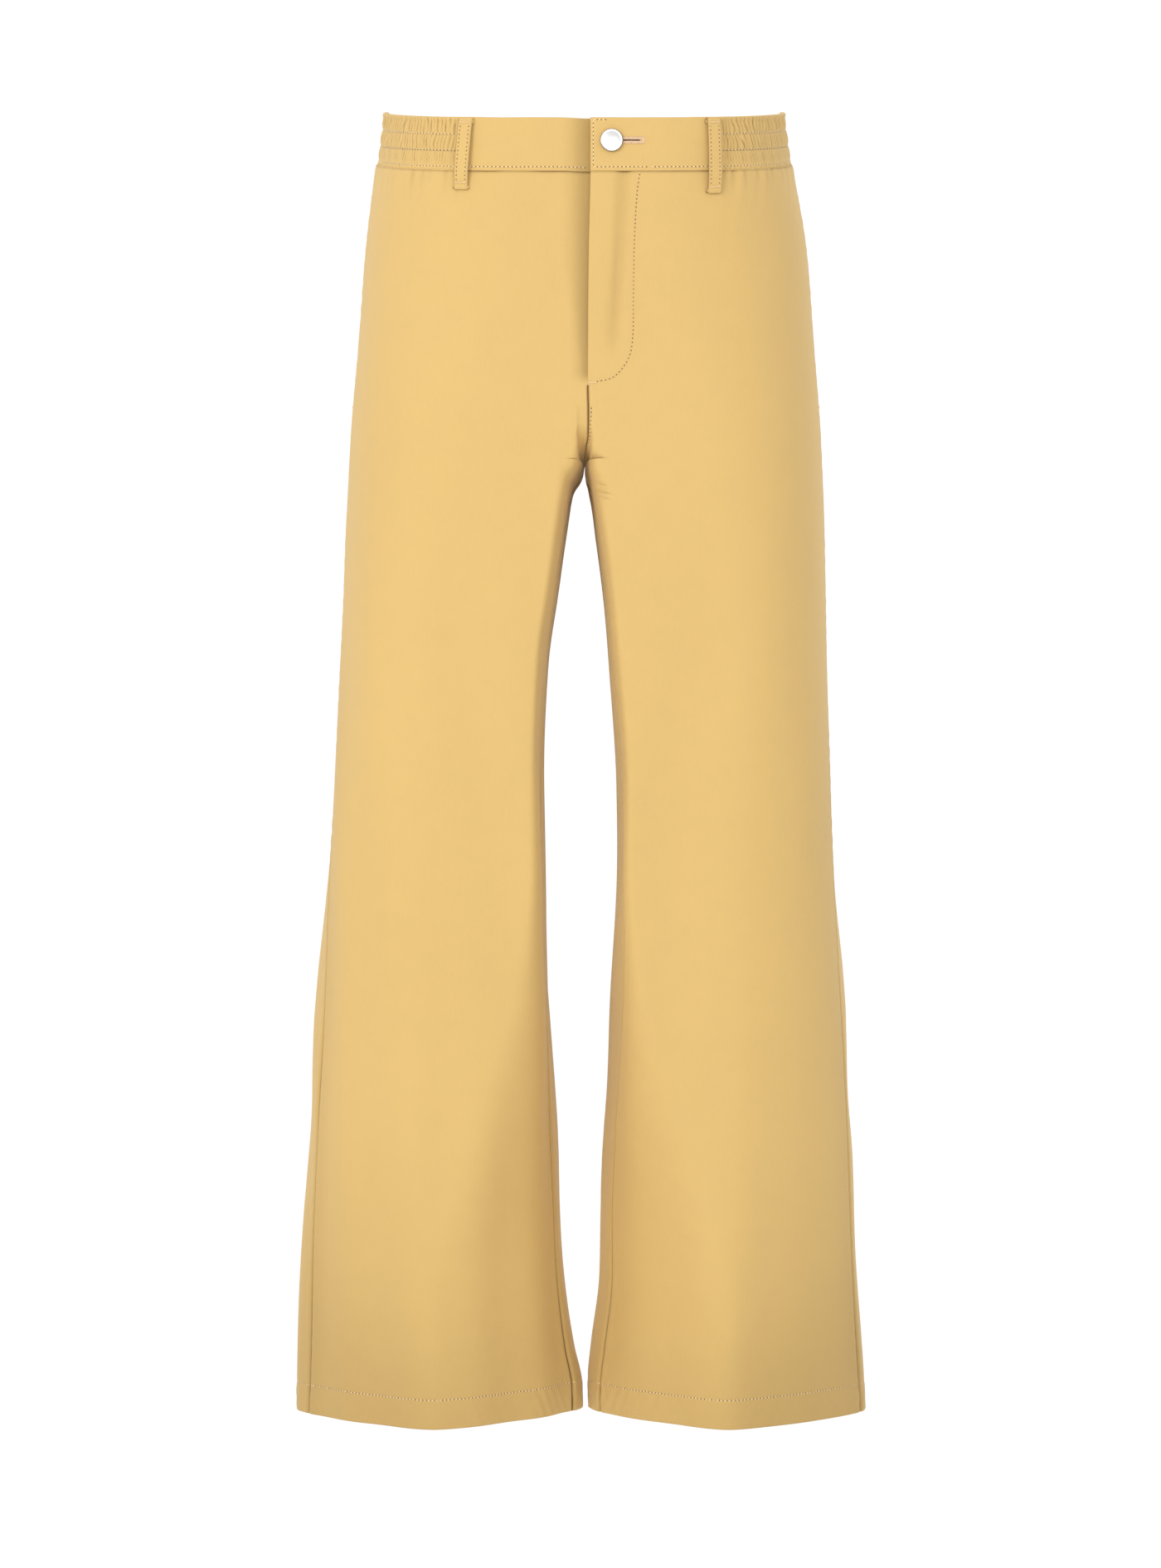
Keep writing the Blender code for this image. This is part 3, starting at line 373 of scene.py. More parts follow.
def tilted(level, y):
    """The height of a point at depth y whose level is counted down from the sloping top edge."""
    slope = np.where(y < 0, TILT_FRONT, TILT_BACK)
    blend = np.where(level > -BAND_HEIGHT, 1.0, smoothstep(TILT_END, -BAND_HEIGHT, level))
    return level + slope * y * blend


def on_body(side, level, share):
    """Points at levels and shares. A front share past 1 runs on over the other side."""
    level, share = np.broadcast_arrays(np.asarray(level, float), np.asarray(share, float))
    body = BODY[side]
    past = (share > 1) & (level > CROTCH)
    own = np.where(past, 1.0, share)
    z = tilted(level, body.point(level, own)[..., 1])
    points = body.point(z, own)
    if past.any():
        other = BODY[OTHER[side]]
        over = 1 - (share - 1) * body.length("front", level) / other.length("front", level)
        over = np.clip(over, 0, 1)
        z_over = tilted(level, other.point(level, over)[..., 1])
        points = np.where(past[..., None], other.point(z_over, over), points)
    return points


def front_height(level):
    return tilted(np.asarray(level, float), -FRONT_DEPTH)


def level_at_front(z):
    """The level whose front stands at a height."""
    level = np.asarray(z, float)
    for _ in range(12):
        level = level + z - front_height(level)
    return level


def waist_points(arc, level):
    """Points by arc from centre front along the top edge, growing to the left, and by level.

    Near centre front and centre back the arc is a true length at every level, and at the sides
    it stretches with the girth.
    """
    arc, level = np.broadcast_arrays(np.asarray(arc, float), np.asarray(level, float))
    arc = np.where(arc > HALF_ROUND, arc - 2 * HALF_ROUND, arc)
    arc = np.where(arc < -HALF_ROUND, arc + 2 * HALF_ROUND, arc)
    away = np.abs(arc)
    found = []
    for side in SIGN:
        length = BODY[side].length
        in_back = away > length("front", 0)
        near = np.where(in_back, HALF_ROUND - away, away)
        top = np.where(in_back, length("back", 0), length("front", 0))
        here = np.where(in_back, length("back", level), length("front", level))
        stretch = smoothstep(TRUE_ARC, top, near)
        part = near * ((1 - stretch) / here + stretch / top)
        found.append(on_body(side, level, np.where(in_back, part - 1, 1 - part)))
    return np.where((arc >= 0)[..., None], found[1], found[0])


def waist_outward(arc, level):
    """The level direction out of the waist."""
    along = waist_points(arc + 1 * MM, level) - waist_points(arc - 1 * MM, level)
    return unit(stacked(along[..., 1], -along[..., 0], 0))


def waves(value, length, seed):
    """A smooth irregular wave between about -1 and 1, about a length in millimetres long."""
    random = np.random.default_rng(seed)
    total = 0
    for _ in range(4):
        own = length * MM * random.uniform(0.7, 1.45)
        total = total + np.sin(2 * np.pi * value / own + random.uniform(0, 2 * np.pi))
    return total / 2.4


def bump(value, centre, half):
    return np.exp(-(((value - centre) / half) ** 2))


def hump(value, centre, half):
    """A bump given in millimetres, of a value in metres."""
    return bump(value, centre * MM, half * MM)


# Meshes


MANY_ROWS = 60  # a grid with more has its directions smoothed from row to row


class Grid:
    """A sheet's points by row and column, from its top down, with its flat coordinates and the shade painted
    on it.
    """

    def __init__(self, points, flat, outward, crease_and_painted_shade=0.0):
        self.crease_and_painted_shade = np.clip(crease_and_painted_shade + np.zeros(points.shape[:2]), 0, 1)
        self.points = points
        self.flat = flat
        normals = unit(np.cross(np.gradient(points, axis=1), np.gradient(points, axis=0)))
        if len(normals) > MANY_ROWS:
            padded = np.pad(normals, ((2, 2), (0, 0), (0, 0)), mode="edge")
            near = [padded[i : i + len(normals)] for i in range(5)]
            alike = (np.clip((n * near[2]).sum(axis=-1, keepdims=True), 0, 1) for n in near)
            normals = unit(sum(n * share**6 for n, share in zip(near, alike)))
        if (normals * outward).sum() < 0:
            normals = -normals
        self.normals = normals
        self.outward = outward

    def moved(self, offset, crease_and_painted_shade=None):
        offset = np.broadcast_to(offset, self.points.shape[:-1])
        crease_and_painted_shade = self.crease_and_painted_shade if crease_and_painted_shade is None else crease_and_painted_shade
        return Grid(self.points + self.normals * offset[..., None], self.flat, self.outward, crease_and_painted_shade)

    def at(self, row, column):
        """The point and normal at a fractional row and column."""
        r = int(min(max(row, 0), self.points.shape[0] - 1.001))
        c = int(min(max(column, 0), self.points.shape[1] - 1.001))
        return [between(table, r, c, row - r, column - c) for table in (self.points, self.normals)]

    def find(self, u, v):
        """The point and normal at flat coordinates: u across and v along the levels."""
        row = np.interp(-v, -self.flat[:, 0, 1], np.arange(len(self.flat)))
        r = int(min(row, len(self.flat) - 2))
        mix = row - r
        line = self.flat[r, :, 0] * (1 - mix) + self.flat[r + 1, :, 0] * mix
        growing = -1 if line[0] > line[-1] else 1
        return self.at(row, np.interp(growing * u, growing * line, np.arange(len(line))))


def mesh_of(name, points, faces):
    mesh = bpy.data.meshes.new(name)
    mesh.from_pydata(points, [], faces)
    return mesh


def linked(name, data):
    thing = bpy.data.objects.new(name, data)
    bpy.context.scene.collection.objects.link(thing)
    return thing


def new_object(name, mesh, made_of):
    thing = linked(name, mesh)
    mesh.materials.append(made_of)
    return thing


def shade(mesh, angle=50):
    mesh.polygons.foreach_set("use_smooth", [True] * len(mesh.polygons))
    mesh.set_sharp_from_angle(angle=math.radians(angle))
    mesh.update()


def sheet_from(name, grid, made_of, slot="twill", keep=None, thick=CLOTH):
    """A sheet of cloth whose outer face is the grid, with its thickness behind it."""
    rows, columns = grid.points.shape[:2]
    r, c = np.meshgrid(np.arange(rows - 1), np.arange(columns - 1), indexing="ij")
    if keep is not None:
        r = r[keep]
        c = c[keep]
    a = (r * columns + c).ravel()
    faces = np.stack([a, a + 1, a + columns + 1, a + columns], axis=-1)
    places = grid.points.reshape(-1, 3)
    corner = places[faces]
    facing = np.cross(corner[:, 1] - corner[:, 0], corner[:, 3] - corner[:, 0])
    if (facing * grid.normals.reshape(-1, 3)[a]).sum() < 0:
        faces = faces[:, ::-1]
    used, compact = np.unique(faces, return_inverse=True)
    mesh = mesh_of(name, places[used].tolist(), compact.reshape(-1, 4).tolist())
    layer = mesh.uv_layers.new(name="cloth")
    layer.data.foreach_set("uv", grid.flat.reshape(-1, 2)[faces.ravel()].ravel())
    # Shade painted on the sheet, which its material mixes into the cloth's colour.
    shade_in = mesh.attributes.new("crease_and_painted_shade", "FLOAT", "POINT")
    shade_in.data.foreach_set("value", grid.crease_and_painted_shade.ravel()[used].astype(np.float32))
    thing = new_object(name, mesh, made_of)
    made = thing.modifiers.new("thickness", "SOLIDIFY")
    made.thickness = thick
    made.offset = -1
    apply_modifiers(thing)
    shade(thing.data)
    thing["flat"] = flat_size(grid, r, c)
    return thing


def flat_size(grid, r, c):
    """Width, length and area of the cloth as cut."""
    u = grid.flat[..., 0]
    v = grid.flat[..., 1]
    wide = np.abs(u[r, c + 1] - u[r, c] + u[r + 1, c + 1] - u[r + 1, c]) / 2
    high = np.abs(v[r + 1, c] - v[r, c])
    area = float((wide * high).sum())
    width = float(max(u[r, c].max(), u[r, c + 1].max()) - min(u[r, c].min(), u[r, c + 1].min()))
    length = float(v[r, c].max() - v[r + 1, c].min())
    return (width, length, min(area, width * length))


def apply_modifiers(thing):
    graph = bpy.context.evaluated_depsgraph_get()
    mesh = bpy.data.meshes.new_from_object(thing.evaluated_get(graph))
    thing.modifiers.clear()
    old = thing.data
    thing.data = mesh
    bpy.data.meshes.remove(old)
    mesh.name = thing.name


def put(thing, body, *nodes):
    """Rides the piece on a body, in the place of solids."""
    if body == "fly":
        follow_fly(thing)
    else:
        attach(thing, body)
    if nodes:
        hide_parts(*nodes)


def lay(name, grid, made_of, body, *nodes, held="folded", **how):
    """A sheet of cloth on its body, in the place of solids, with its size as cut. The hold it is given is
    not used.
    """
    thing = sheet_from(name, grid, made_of, **how)
    put(thing, body, *nodes)


def follow_fly(thing):
    """Cloth and what is sewn to it that opens with the fly: its lower end stays closed."""
    y = -FRONT_DEPTH
    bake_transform(thing, "root", "fly", start=(BEND_FROM, y, 0), end=(BEND_TO, y, 0))
    heights = np.array([vertex.co.z for vertex in thing.data.vertices])
    attribute = thing.data.attributes["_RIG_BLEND"]
    weights = np.zeros(len(heights), np.float32)
    attribute.data.foreach_get("value", weights)
    opening = smoothstep(FLAP_PIECE_FOOT, FLY_OPENS_BY, heights)
    attribute.data.foreach_set("value", (weights * opening).astype(np.float32))


# Threads


def capsule(rings=5, sides=6):
    """A stitch lying along X, 1 long and 1 in radius: points and faces."""
    points = []
    for i in range(rings):
        angle = math.pi * (i + 0.5) / rings
        for k in range(sides):
            turn = 2 * math.pi * k / sides
            wide = math.sin(angle)
            points.append((-0.5 * math.cos(angle), wide * math.cos(turn), wide * math.sin(turn)))
    faces = []
    for i in range(rings - 1):
        for k in range(sides):
            a = i * sides + k
            b = i * sides + (k + 1) % sides
            faces.append((a, b, b + sides, a + sides))
    faces.append(tuple(range(sides))[::-1])
    faces.append(tuple(range((rings - 1) * sides, rings * sides)))
    return np.array(points), faces


CAPSULE = capsule()


def sew(name, stitches, made_of, body="root", *nodes):
    """Stitches, each given as (start, end, normal, radius), and the needle holes among them, which
    are given with a radius below 0 and are flat dark patches of painted shade."""
    template, faces = CAPSULE
    points = []
    all_faces = []
    dark = []
    for start, end, normal, radius in stitches:
        along = end - start
        length = np.linalg.norm(along)
        along = along / length
        normal = normal - along * (normal @ along)
        normal = normal / np.linalg.norm(normal)
        across = np.cross(normal, along)
        base = len(points) * len(template)
        wide = abs(radius)
        points.append(
            (start + end) / 2
            + template[:, :1] * along * length
            + template[:, 1:2] * across * wide
            + template[:, 2:] * normal * (wide if radius > 0 else 0.05 * MM)
        )
        all_faces += [tuple(base + i for i in face) for face in faces]
        dark += [int(radius < 0)] * len(faces)
    mesh = mesh_of(name, np.concatenate(points).tolist(), all_faces)
    shade(mesh, 80)
    thing = new_object(name, mesh, made_of)
    mesh.materials.append(bpy.data.materials["needle_hole_painted_shade"])
    mesh.polygons.foreach_set("material_index", dark)
    put(thing, body, *nodes)


def run_of_stitches(places, length=STITCH, gap=STITCH_GAP, radius=THREAD, sunk=0.35):
    """Stitches along a line of (point, normal), half sunk in the cloth, with their holes, flat patches of
    painted shade between the stitches.
    """
    points = np.array([place[0] for place in places])
    normals = np.array([place[1] for place in places])
    along = lengths_along(points)

    def at(value, table):
        return np.array([np.interp(value, along, table[:, k]) for k in range(3)])

    made = []
    start = gap / 2
    while start + length < along[-1]:
        normal = at(start + length / 2, normals)
        lift = normal * radius * (1 - sunk)
        made.append((at(start, points) + lift, at(start + length, points) + lift, normal, radius))
        hole = start + length + gap / 2
        if hole + gap / 2 < along[-1]:
            lift = at(hole, normals) * 0.03 * MM
            reach = gap / 2 + 0.3 * MM
            ends = (at(hole - reach, points) + lift, at(hole + reach, points) + lift)
            made.append((*ends, normal, -HOLE))
        start += length + gap
    return made


# Cloth of the legs


def series(*spans):
    """Values in millimetres along spans of (from, to, step), as an array in metres."""
    values = []
    for first, last, step in spans:
        count = max(int(round(abs((last - first) / step))), 1)
        values += [first + (last - first) * i / count for i in range(count)]
    values.append(spans[-1][1])
    return np.array(values) * MM


EDGE_STEPS = series((0, 2, 0.4), (2, 5, 1.0), (5, 9, 2.0))
FLY_STEPS = series((0, 2, 0.4), (2, 47, 1.0), (47, 59, 3.0))
FLAP_COLUMN = 47 * MM  # how wide the flap's own cloth is
PANEL_LEVELS = np.concatenate(
    [
        series((-36.5, -44, -0.75), (-44, -60, -2), (-60, -168, -3))[:-1],
        level_at_front(series((-194, -244, -1)))[:-1],
        series((-255, -270, -2.5), (-270, -279, -1))[:-1],
        CROTCH + np.array([3, 2.1, 1.4, 0.8, 0.35, 0]) * MM,
        series((-283, -290, -1), (-290, -305, -2.5), (-305, -985, -4)),
        series((-987, -993, -2), (-993, -1003, -0.6), (-1003, -1017, -1.5), (-1017, -1020, -0.5)),
    ]
)
PANEL_LEVELS = np.unique(np.round(PANEL_LEVELS, 6))[::-1]

# The line of the fly's edge and of the crotch seam below it: height, then arc to the left.
FRONT_LINE = Curve((
    (20, 4.6), (-65, 4.4), (-124, 3.2), (-224, 2.5),
    (-250, 3.0), (-264, 2.8), (-275, 1.2), (-282, 0),
))
# The line of stitches that holds the flap: arc, then height.
J_LINE = (
    (41.8, -62), (38.9, -84), (37.4, -119), (36.8, -160), (36.6, -186), (34.5, -203),
    (28.2, -214.5), (20.4, -221.3), (9.0, -223.8), (1.5, -224.3),
)
STITCH_FROM_HEM = 22.5 * MM
POCKET_MOUTH = (-66 * MM, -232 * MM)


def line_through(points, step=1.0 * MM):
    """A smooth line through points in millimetres, sampled evenly."""
    points = np.array(points, float) * MM
    padded = np.vstack([2 * points[0] - points[1], points, 2 * points[-1] - points[-2]])
    made = []
    for i in range(1, len(padded) - 2):
        a, b, c, d = padded[i - 1 : i + 3]
        for t in np.linspace(0, 1, 24, endpoint=False):
            made.append(
                0.5 * (2 * b + (c - a) * t + (2 * a - 5 * b + 4 * c - d) * t**2)
                + 0.5 * (3 * b - a - 3 * c + d) * t**3
            )
    made.append(points[-1])
    made = np.array(made)
    along = lengths_along(made)
    places = np.arange(0, along[-1], step)
    return np.stack([np.interp(places, along, made[:, k]) for k in range(made.shape[1])], axis=-1)


J_POINTS = line_through(J_LINE)


def stitched_limit(z):
    """The arc of the J-stitch at a height."""
    return np.interp(z, J_POINTS[::-1, 1], J_POINTS[::-1, 0])


def distance_to(points, arc, z):
    """Distance to a line on the front."""
    close = np.full(np.broadcast(arc, z).shape, 1.0)
    for a, h in points:
        close = np.minimum(close, np.hypot(arc - a, z - h))
    return close


def even_face(points):
    """The front's face near the crotch, evened out from row to row where it is all but flat."""
    rows = np.where(np.abs(PANEL_LEVELS - CROTCH) < 34 * MM)[0]
    across = np.arange(9, 80, 1.5) * MM
    faces = []
    for i in rows:
        ahead = points[i, :, 1] < -70 * MM
        x, y = np.abs(points[i, ahead, 0]), points[i, ahead, 1]
        order = np.argsort(x)
        faces.append(np.interp(across, x[order], y[order]))
    faces = np.array(faces)
    z = PANEL_LEVELS[rows]
    weights = np.exp(-0.5 * ((z[:, None] - z) / (6 * MM)) ** 2) * np.abs(np.gradient(z))
    change = weights @ faces / weights.sum(axis=1, keepdims=True) - faces
    change *= 1 - ease(20, 32, np.abs(z - CROTCH))[:, None]
    for k, i in enumerate(rows):
        x = np.abs(points[i, :, 0])
        within = ease(9, 15, x) * (1 - ease(65, 79, x))
        ahead = points[i, :, 1] < -90 * MM
        points[i, :, 1] += ahead * within * np.interp(x, across, change[k])
    return points


def columns_between(width, first, last, counts, face_share=0.6):
    """Distances from a panel's side seam for every row: close together by both edges, evenly spread
    over the face of the leg, and crowded only where the crotch curve cuts the panel off."""
    even = np.arange(PANEL_LEVELS[-1], PANEL_LEVELS[0], 1 * MM)
    steady = np.interp(even, PANEL_LEVELS[::-1], width[::-1])
    steady = np.convolve(np.pad(steady, 150, mode="edge"), smooth_kernel(50, 150), "valid")
    face = face_share * np.interp(PANEL_LEVELS, even, steady)[:, None]
    far = width[:, None] - last[-1]
    face = np.minimum(face, 0.95 * far)
    begin = np.broadcast_to(first, (len(width), len(first)))
    outer = first[-1] + np.linspace(0, 1, counts[0])[1:] * (face - first[-1])
    inner = face + np.linspace(0, 1, counts[1])[1:-1] * (far - face)
    end = width[:, None] - last[::-1]
    return np.concatenate([begin, outer, inner, end], axis=1)


def soft_folds(side, face, along, level):
    """The broad, faint undulation of cloth that hangs free."""
    seed = {"right": 3, "left": 8}[side] + {"front": 0, "back": 20}[face]
    freedom = ease(-300, -560, level)
    leaning = along + 0.05 * level
    upright = waves(leaning, 78, seed) * (0.25 + 1.15 * freedom)
    rolling = waves(level + 0.5 * along, 210, seed + 1) * (0.3 + 0.7 * freedom)
    return (0.9 * upright + 0.7 * rolling) * MM


def hem_relief(along, level, seed):
    """The stitched hem: a sunk line of stitching, small slanting puckers and a rolled edge."""
    above = level - HEM
    stitch = -0.2 * bump(above, STITCH_FROM_HEM, 0.9 * MM)
    inside_hem = ease(-0.5, 3, above) * (1 - ease(19, 26, above))
    puckers = 0.22 * waves(along + 0.55 * above, 10, seed) * inside_hem
    near_stitch = 0.16 * waves(along, 6.5, seed + 5) * bump(above, STITCH_FROM_HEM, 5 * MM)
    swell = 0.25 * hump(above, 12, 8)
    edge = -0.7 * np.clip(1 - above / (1.2 * MM), 0, 1) ** 2
    return (stitch + puckers + near_stitch + swell + edge) * MM


def seam_relief(distance, along, seed, dip=SEAM_DIP, half=SEAM_HALF):
    """A pressed seam at an edge of a panel, with the faint ripple that sewing leaves beside it."""
    groove = -dip * bump(distance, 0, half)
    ridge = 0.25 * MM * hump(distance, 4, 2.2)
    ripple = 0.16 * MM * waves(along, 13, seed) * hump(distance, 5, 5)
    return groove + ridge + ripple


def top_relief(arc, level, elastic):
    """The panel's upper edge, tucked behind the waistband and drawn in where that is elastic."""
    down = -BAND_HEIGHT - level
    tuck = -2.2 * MM * (1 - ease(-2.2, 1.0, down))
    crease_and_painted_shade = -0.35 * MM * hump(down, 1.2, 1.6)
    drawn = waves(arc, 7.5, 41) * np.exp(-np.clip(down, 0, 1) / (7 * MM))
    longer = waves(arc + 0.15 * down, 17, 42) * np.exp(-np.clip(down, 0, 1) / (22 * MM))
    gathers = (0.8 * drawn + 0.9 * longer) * MM * elastic * ease(-1, 1.5, down)
    return tuck + crease_and_painted_shade + gathers


def pucker_shade(arc, level, elastic):
    down = np.clip(-BAND_HEIGHT - level, 0, 1)
    lines = np.clip(-waves(arc, 7.5, 41) - 0.3, 0, 1) * np.exp(-down / (8 * MM))
    return 0.4 * lines * elastic


def edge_shade(points, level):
    """The shade where the outer side of a leg turns away from the front."""
    x = np.abs(points[..., 0])
    edge = x.max(axis=1, keepdims=True) - x
    turning = hump(edge, 0, 9) * ease(-330, -500, level)
    foot = ease(-780, -940, level) * (1 - ease(70, 130, edge))
    return (0.12 * turning + 0.1 * foot) * ease(25, -40, points[..., 1])


def front_relief(side, arc, z):
    """What the fly, its stitching and the pull of the cloth do to the front, by arc to the left."""
    upper = ease(-215, -170, z)
    offset = np.zeros(np.broadcast(arc, z).shape)
    if side == "left":
        steady = upper * ease(-58, -72, z)
        offset += 0.95 * MM * ease(26, 12, arc) * steady
        offset += -1.5 * MM * flap_valley(arc, z)
        offset += 0.4 * MM * hump(arc, 21, 3) * steady
        near = distance_to(J_POINTS, arc, z)
        offset += -0.3 * MM * hump(near, 0, 0.9)
        limit = stitched_limit(z)
        within = ease(2.5, -1, arc - limit) * ease(-226, -222, z)
        offset += 0.3 * MM * within
        ripple = waves(z, 9, 51) * hump(near, 0, 4)
        offset += 0.12 * MM * ripple
    else:
        pull = (arc + 92 * MM) * 0.55 + (z + 78 * MM) * 0.8
        reach = hump(arc, -82, 22) * hump(z, -100, 26)
        offset += 0.8 * MM * np.sin(pull / (4.6 * MM)) * reach
        dent = bump(arc, -99 * MM + 0.25 * (z + 70 * MM), 2.6 * MM)
        offset += -1.3 * MM * dent * hump(z, -69, 7)
    across = hump(z, -262, 30) * hump(arc, 0, 60)
    offset += 0.25 * MM * waves(z - 0.45 * np.abs(arc), 16, 61) * across
    return offset


def fly_recess(arc, z):
    """How far the right front steps back beside the flap: widest and deepest at the top."""
    high = ease(-224, -120, z)
    start = -(3 + 15 * high) * MM
    deep = (1.9 + 2.9 * high) * MM * ease(-228, -219, z)
    return deep * smoothstep(start, 2.6 * MM, arc)


def hem_shade(away, width, level):
    """Painted shade: the cloth is drawn a little darker towards the hem, and sooner so by the sides of the
    leg.
    """
    side = (2 * away / width - 1) ** 2
    low = smoothstep(HEM + 120 * MM, HEM - 10 * MM, level - 40 * MM * side)
    return 0.85 * (0.25 - 0.1 * side) * low + 0.05 * side * ease(-640, -900, level)


# Where the hollow runs: height, then arc.
VALLEY = np.array([(-205, 21), (-170, 23), (-120, 27), (-60, 30)]) * MM


def flap_valley(arc, z):
    """The soft hollow down the flap of the fly, beside the layers under it."""
    centre = np.interp(z, VALLEY[:, 0], VALLEY[:, 1])
    return bump(arc, centre, 5 * MM) * ease(-212, -180, z)


def held_folds(side, face, away, level, *edges):
    """The soft folds, held flat beside seams that are given by the distance to each."""
    held = sum(hump(edge, 0, 12) for edge in edges)
    return soft_folds(side, face, away, level) * (1 - 0.7 * np.clip(held, 0, 1))


def off_crotch(grid, level):
    """0 where the four panels meet, so that nothing parts them there, and 1 away from it."""
    return 1 - bump(level, CROTCH, 9 * MM) * hump(grid.points[..., 0], 0, 14)


def pocket_mouth(z):
    low, high = POCKET_MOUTH[1], POCKET_MOUTH[0]
    return smoothstep(low - 6 * MM, low, z) * (1 - smoothstep(high, high + 6 * MM, z))


def front_grid(side):
    length = BODY[side].length("front", PANEL_LEVELS)
    z_front = front_height(PANEL_LEVELS)
    first = OUTSEAM_AT[side](PANEL_LEVELS) / length
    edge = FRONT_LINE(z_front)
    if side == "right":
        under = ease(-228, -216, z_front)
        edge = -(edge + (PANEL_UNDERLAP_END - edge) * under)
    last = 1 - (INSEAM_AT[side](PANEL_LEVELS) + edge) / length
    width = (last - first) * length
    end_steps = FLY_STEPS if side == "left" else EDGE_STEPS
    away = columns_between(width, EDGE_STEPS, end_steps, (58, 30), 0.83)
    share = first[:, None] + away / length[:, None]
    level = PANEL_LEVELS[:, None] + 0 * away
    arc = SIGN[side] * (1 - share) * length[:, None]
    points = even_face(on_body(side, level, share))
    grid = Grid(points, stacked(away, level), np.array([0, -1, 0]))
    z = grid.points[..., 2]
    to_inner = width[:, None] - away
    pressed = (1.1 * MM, 0.7 * MM)
    below_fly = 1 - ease(-230, -222, z_front)[:, None]
    inner = seam_relief(to_inner, z, 72, *pressed) * below_fly
    if side == "left":
        fold = -1.1 * np.clip(1 - to_inner / (1.3 * MM), 0, 1) ** 2 * MM
        inner = inner + fold * (1 - below_fly)
    from_elastic = np.abs(arc) - ELASTIC_FROM[side]
    elastic = ease(-6, 6, from_elastic)
    hip = smoothstep(CROTCH + 4 * MM, CROTCH + 22 * MM, level)
    offset = (
        seam_relief(away, z, 71, *pressed)
        - 0.6 * MM * pocket_mouth(z) * hump(away, 0, 1.6)
        + inner
        + front_relief(side, arc, z) * hip
        + top_relief(arc, level, elastic)
        + hem_relief(away, level, 81 if side == "left" else 82)
        + held_folds(side, "front", away, level, to_inner, away)
    )
    # Painted shade: dark lines in the seams' grooves, a shadow line under the waistband, shade in the
    # puckers below it, by the leg's outer side and towards the hem.
    seam = 1.2 * SEAM_SHADE
    crease_and_painted_shade = (
        bump(away, 0, seam)
        + hem_shade(away, width[:, None], level)
        + bump(to_inner, 0, seam) * (below_fly > 0.5)
        + pucker_shade(arc, level, ease(-4, 6, from_elastic))
        + 0.35 * bump(level, BAND_SHADOW, 0.9 * MM)
        + edge_shade(grid.points, level)
    )
    if side == "left":
        # Painted shade in the hollow down the flap.
        crease_and_painted_shade = crease_and_painted_shade + 0.13 * flap_valley(arc, z)
    else:
        # Painted shadow on the right front where it steps back beside the flap.
        beside_flap = ease(-13, 3, arc) * ease(-228, -215, z)
        crease_and_painted_shade = crease_and_painted_shade + 0.35 * beside_flap
        offset = offset - fly_recess(arc, z)
    moved = grid.moved(offset * off_crotch(grid, level), crease_and_painted_shade)
    return Grid(even_face(moved.points), moved.flat, moved.outward, moved.crease_and_painted_shade)


def back_grid(side):
    front, back = (BODY[side].length(face, PANEL_LEVELS) for face in ("front", "back"))
    inner = INSEAM_AT[side](PANEL_LEVELS) / front
    outer = OUTSEAM_AT[side](PANEL_LEVELS) / front
    width = inner * front + back + outer * front
    away = width[:, None] - columns_between(width, EDGE_STEPS, EDGE_STEPS, (38, 26))[:, ::-1]
    share = np.empty_like(away)
    for i in range(len(PANEL_LEVELS)):
        shares = (-1 - inner[i], -1, 0, max(outer[i], 1e-6))
        places = np.cumsum((0, inner[i] * front[i], back[i], outer[i] * front[i] + 1e-9))
        share[i] = np.interp(away[i], places, shares)
    level = PANEL_LEVELS[:, None] + 0 * away
    grid = Grid(on_body(side, level, share), stacked(away, level), np.array([0, 1, 0]))
    z = grid.points[..., 2]
    to_outer = width[:, None] - away
    arc = SIGN[side] * (HALF_ROUND - away)
    elastic = smoothstep(ELASTIC_BACK - 6 * MM, ELASTIC_BACK + 6 * MM, away)
    drag = waves(level - 0.35 * away, 26, 91) * hump(level, -255, 45)
    offset = (
        seam_relief(to_outer, z, 73)
        + seam_relief(away, z, 74)
        + top_relief(arc, level, elastic)
        + hem_relief(away, level, 83 if side == "left" else 84)
        + 0.5 * MM * drag * hump(away, 20, 60)
        + held_folds(side, "back", away, level, away, to_outer)
    )
    # Painted shade: the seams' dark lines with a soft shadow beside them, the shadow line under the
    # waistband, shade in the puckers, by the leg's outer side and towards the hem.
    crease_and_painted_shade = pucker_shade(arc, level, elastic) + hem_shade(away, width[:, None], level)
    for distance in (away, to_outer):
        crease_and_painted_shade = crease_and_painted_shade + bump(distance, 0, SEAM_SHADE) + 0.2 * hump(distance, 0, 2.4)
    crease_and_painted_shade = crease_and_painted_shade + 0.5 * bump(level, BAND_SHADOW, 0.9 * MM) + edge_shade(grid.points, level)
    return grid.moved(offset * off_crotch(grid, level), crease_and_painted_shade)


def stitches_along(grid, line, **how):
    """Stitches on a grid along flat coordinates."""
    return run_of_stitches([grid.find(u, v) for u, v in line], **how)


def make_panels(looks):
    twill = looks["twill"]
    grids = {}
    for side in SIGN:
        grid = front_grid(side)
        grids["front", side] = grid
        keep = None
        if side == "left":
            flap = flap_cells(grid)
            keep = ~flap
            lay("front_left_fly", grid, twill, "fly", "fly_flap", held="hung", keep=flap)
        node = f"front_panel_{side}"
        lay(f"leg_front_{side}", grid, twill, "root", node, held="hung", keep=keep)
        grid = back_grid(side)
        grids["back", side] = grid
        lay(f"leg_back_{side}", grid, twill, "root", f"back_panel_{side}", held="hung")
    return grids


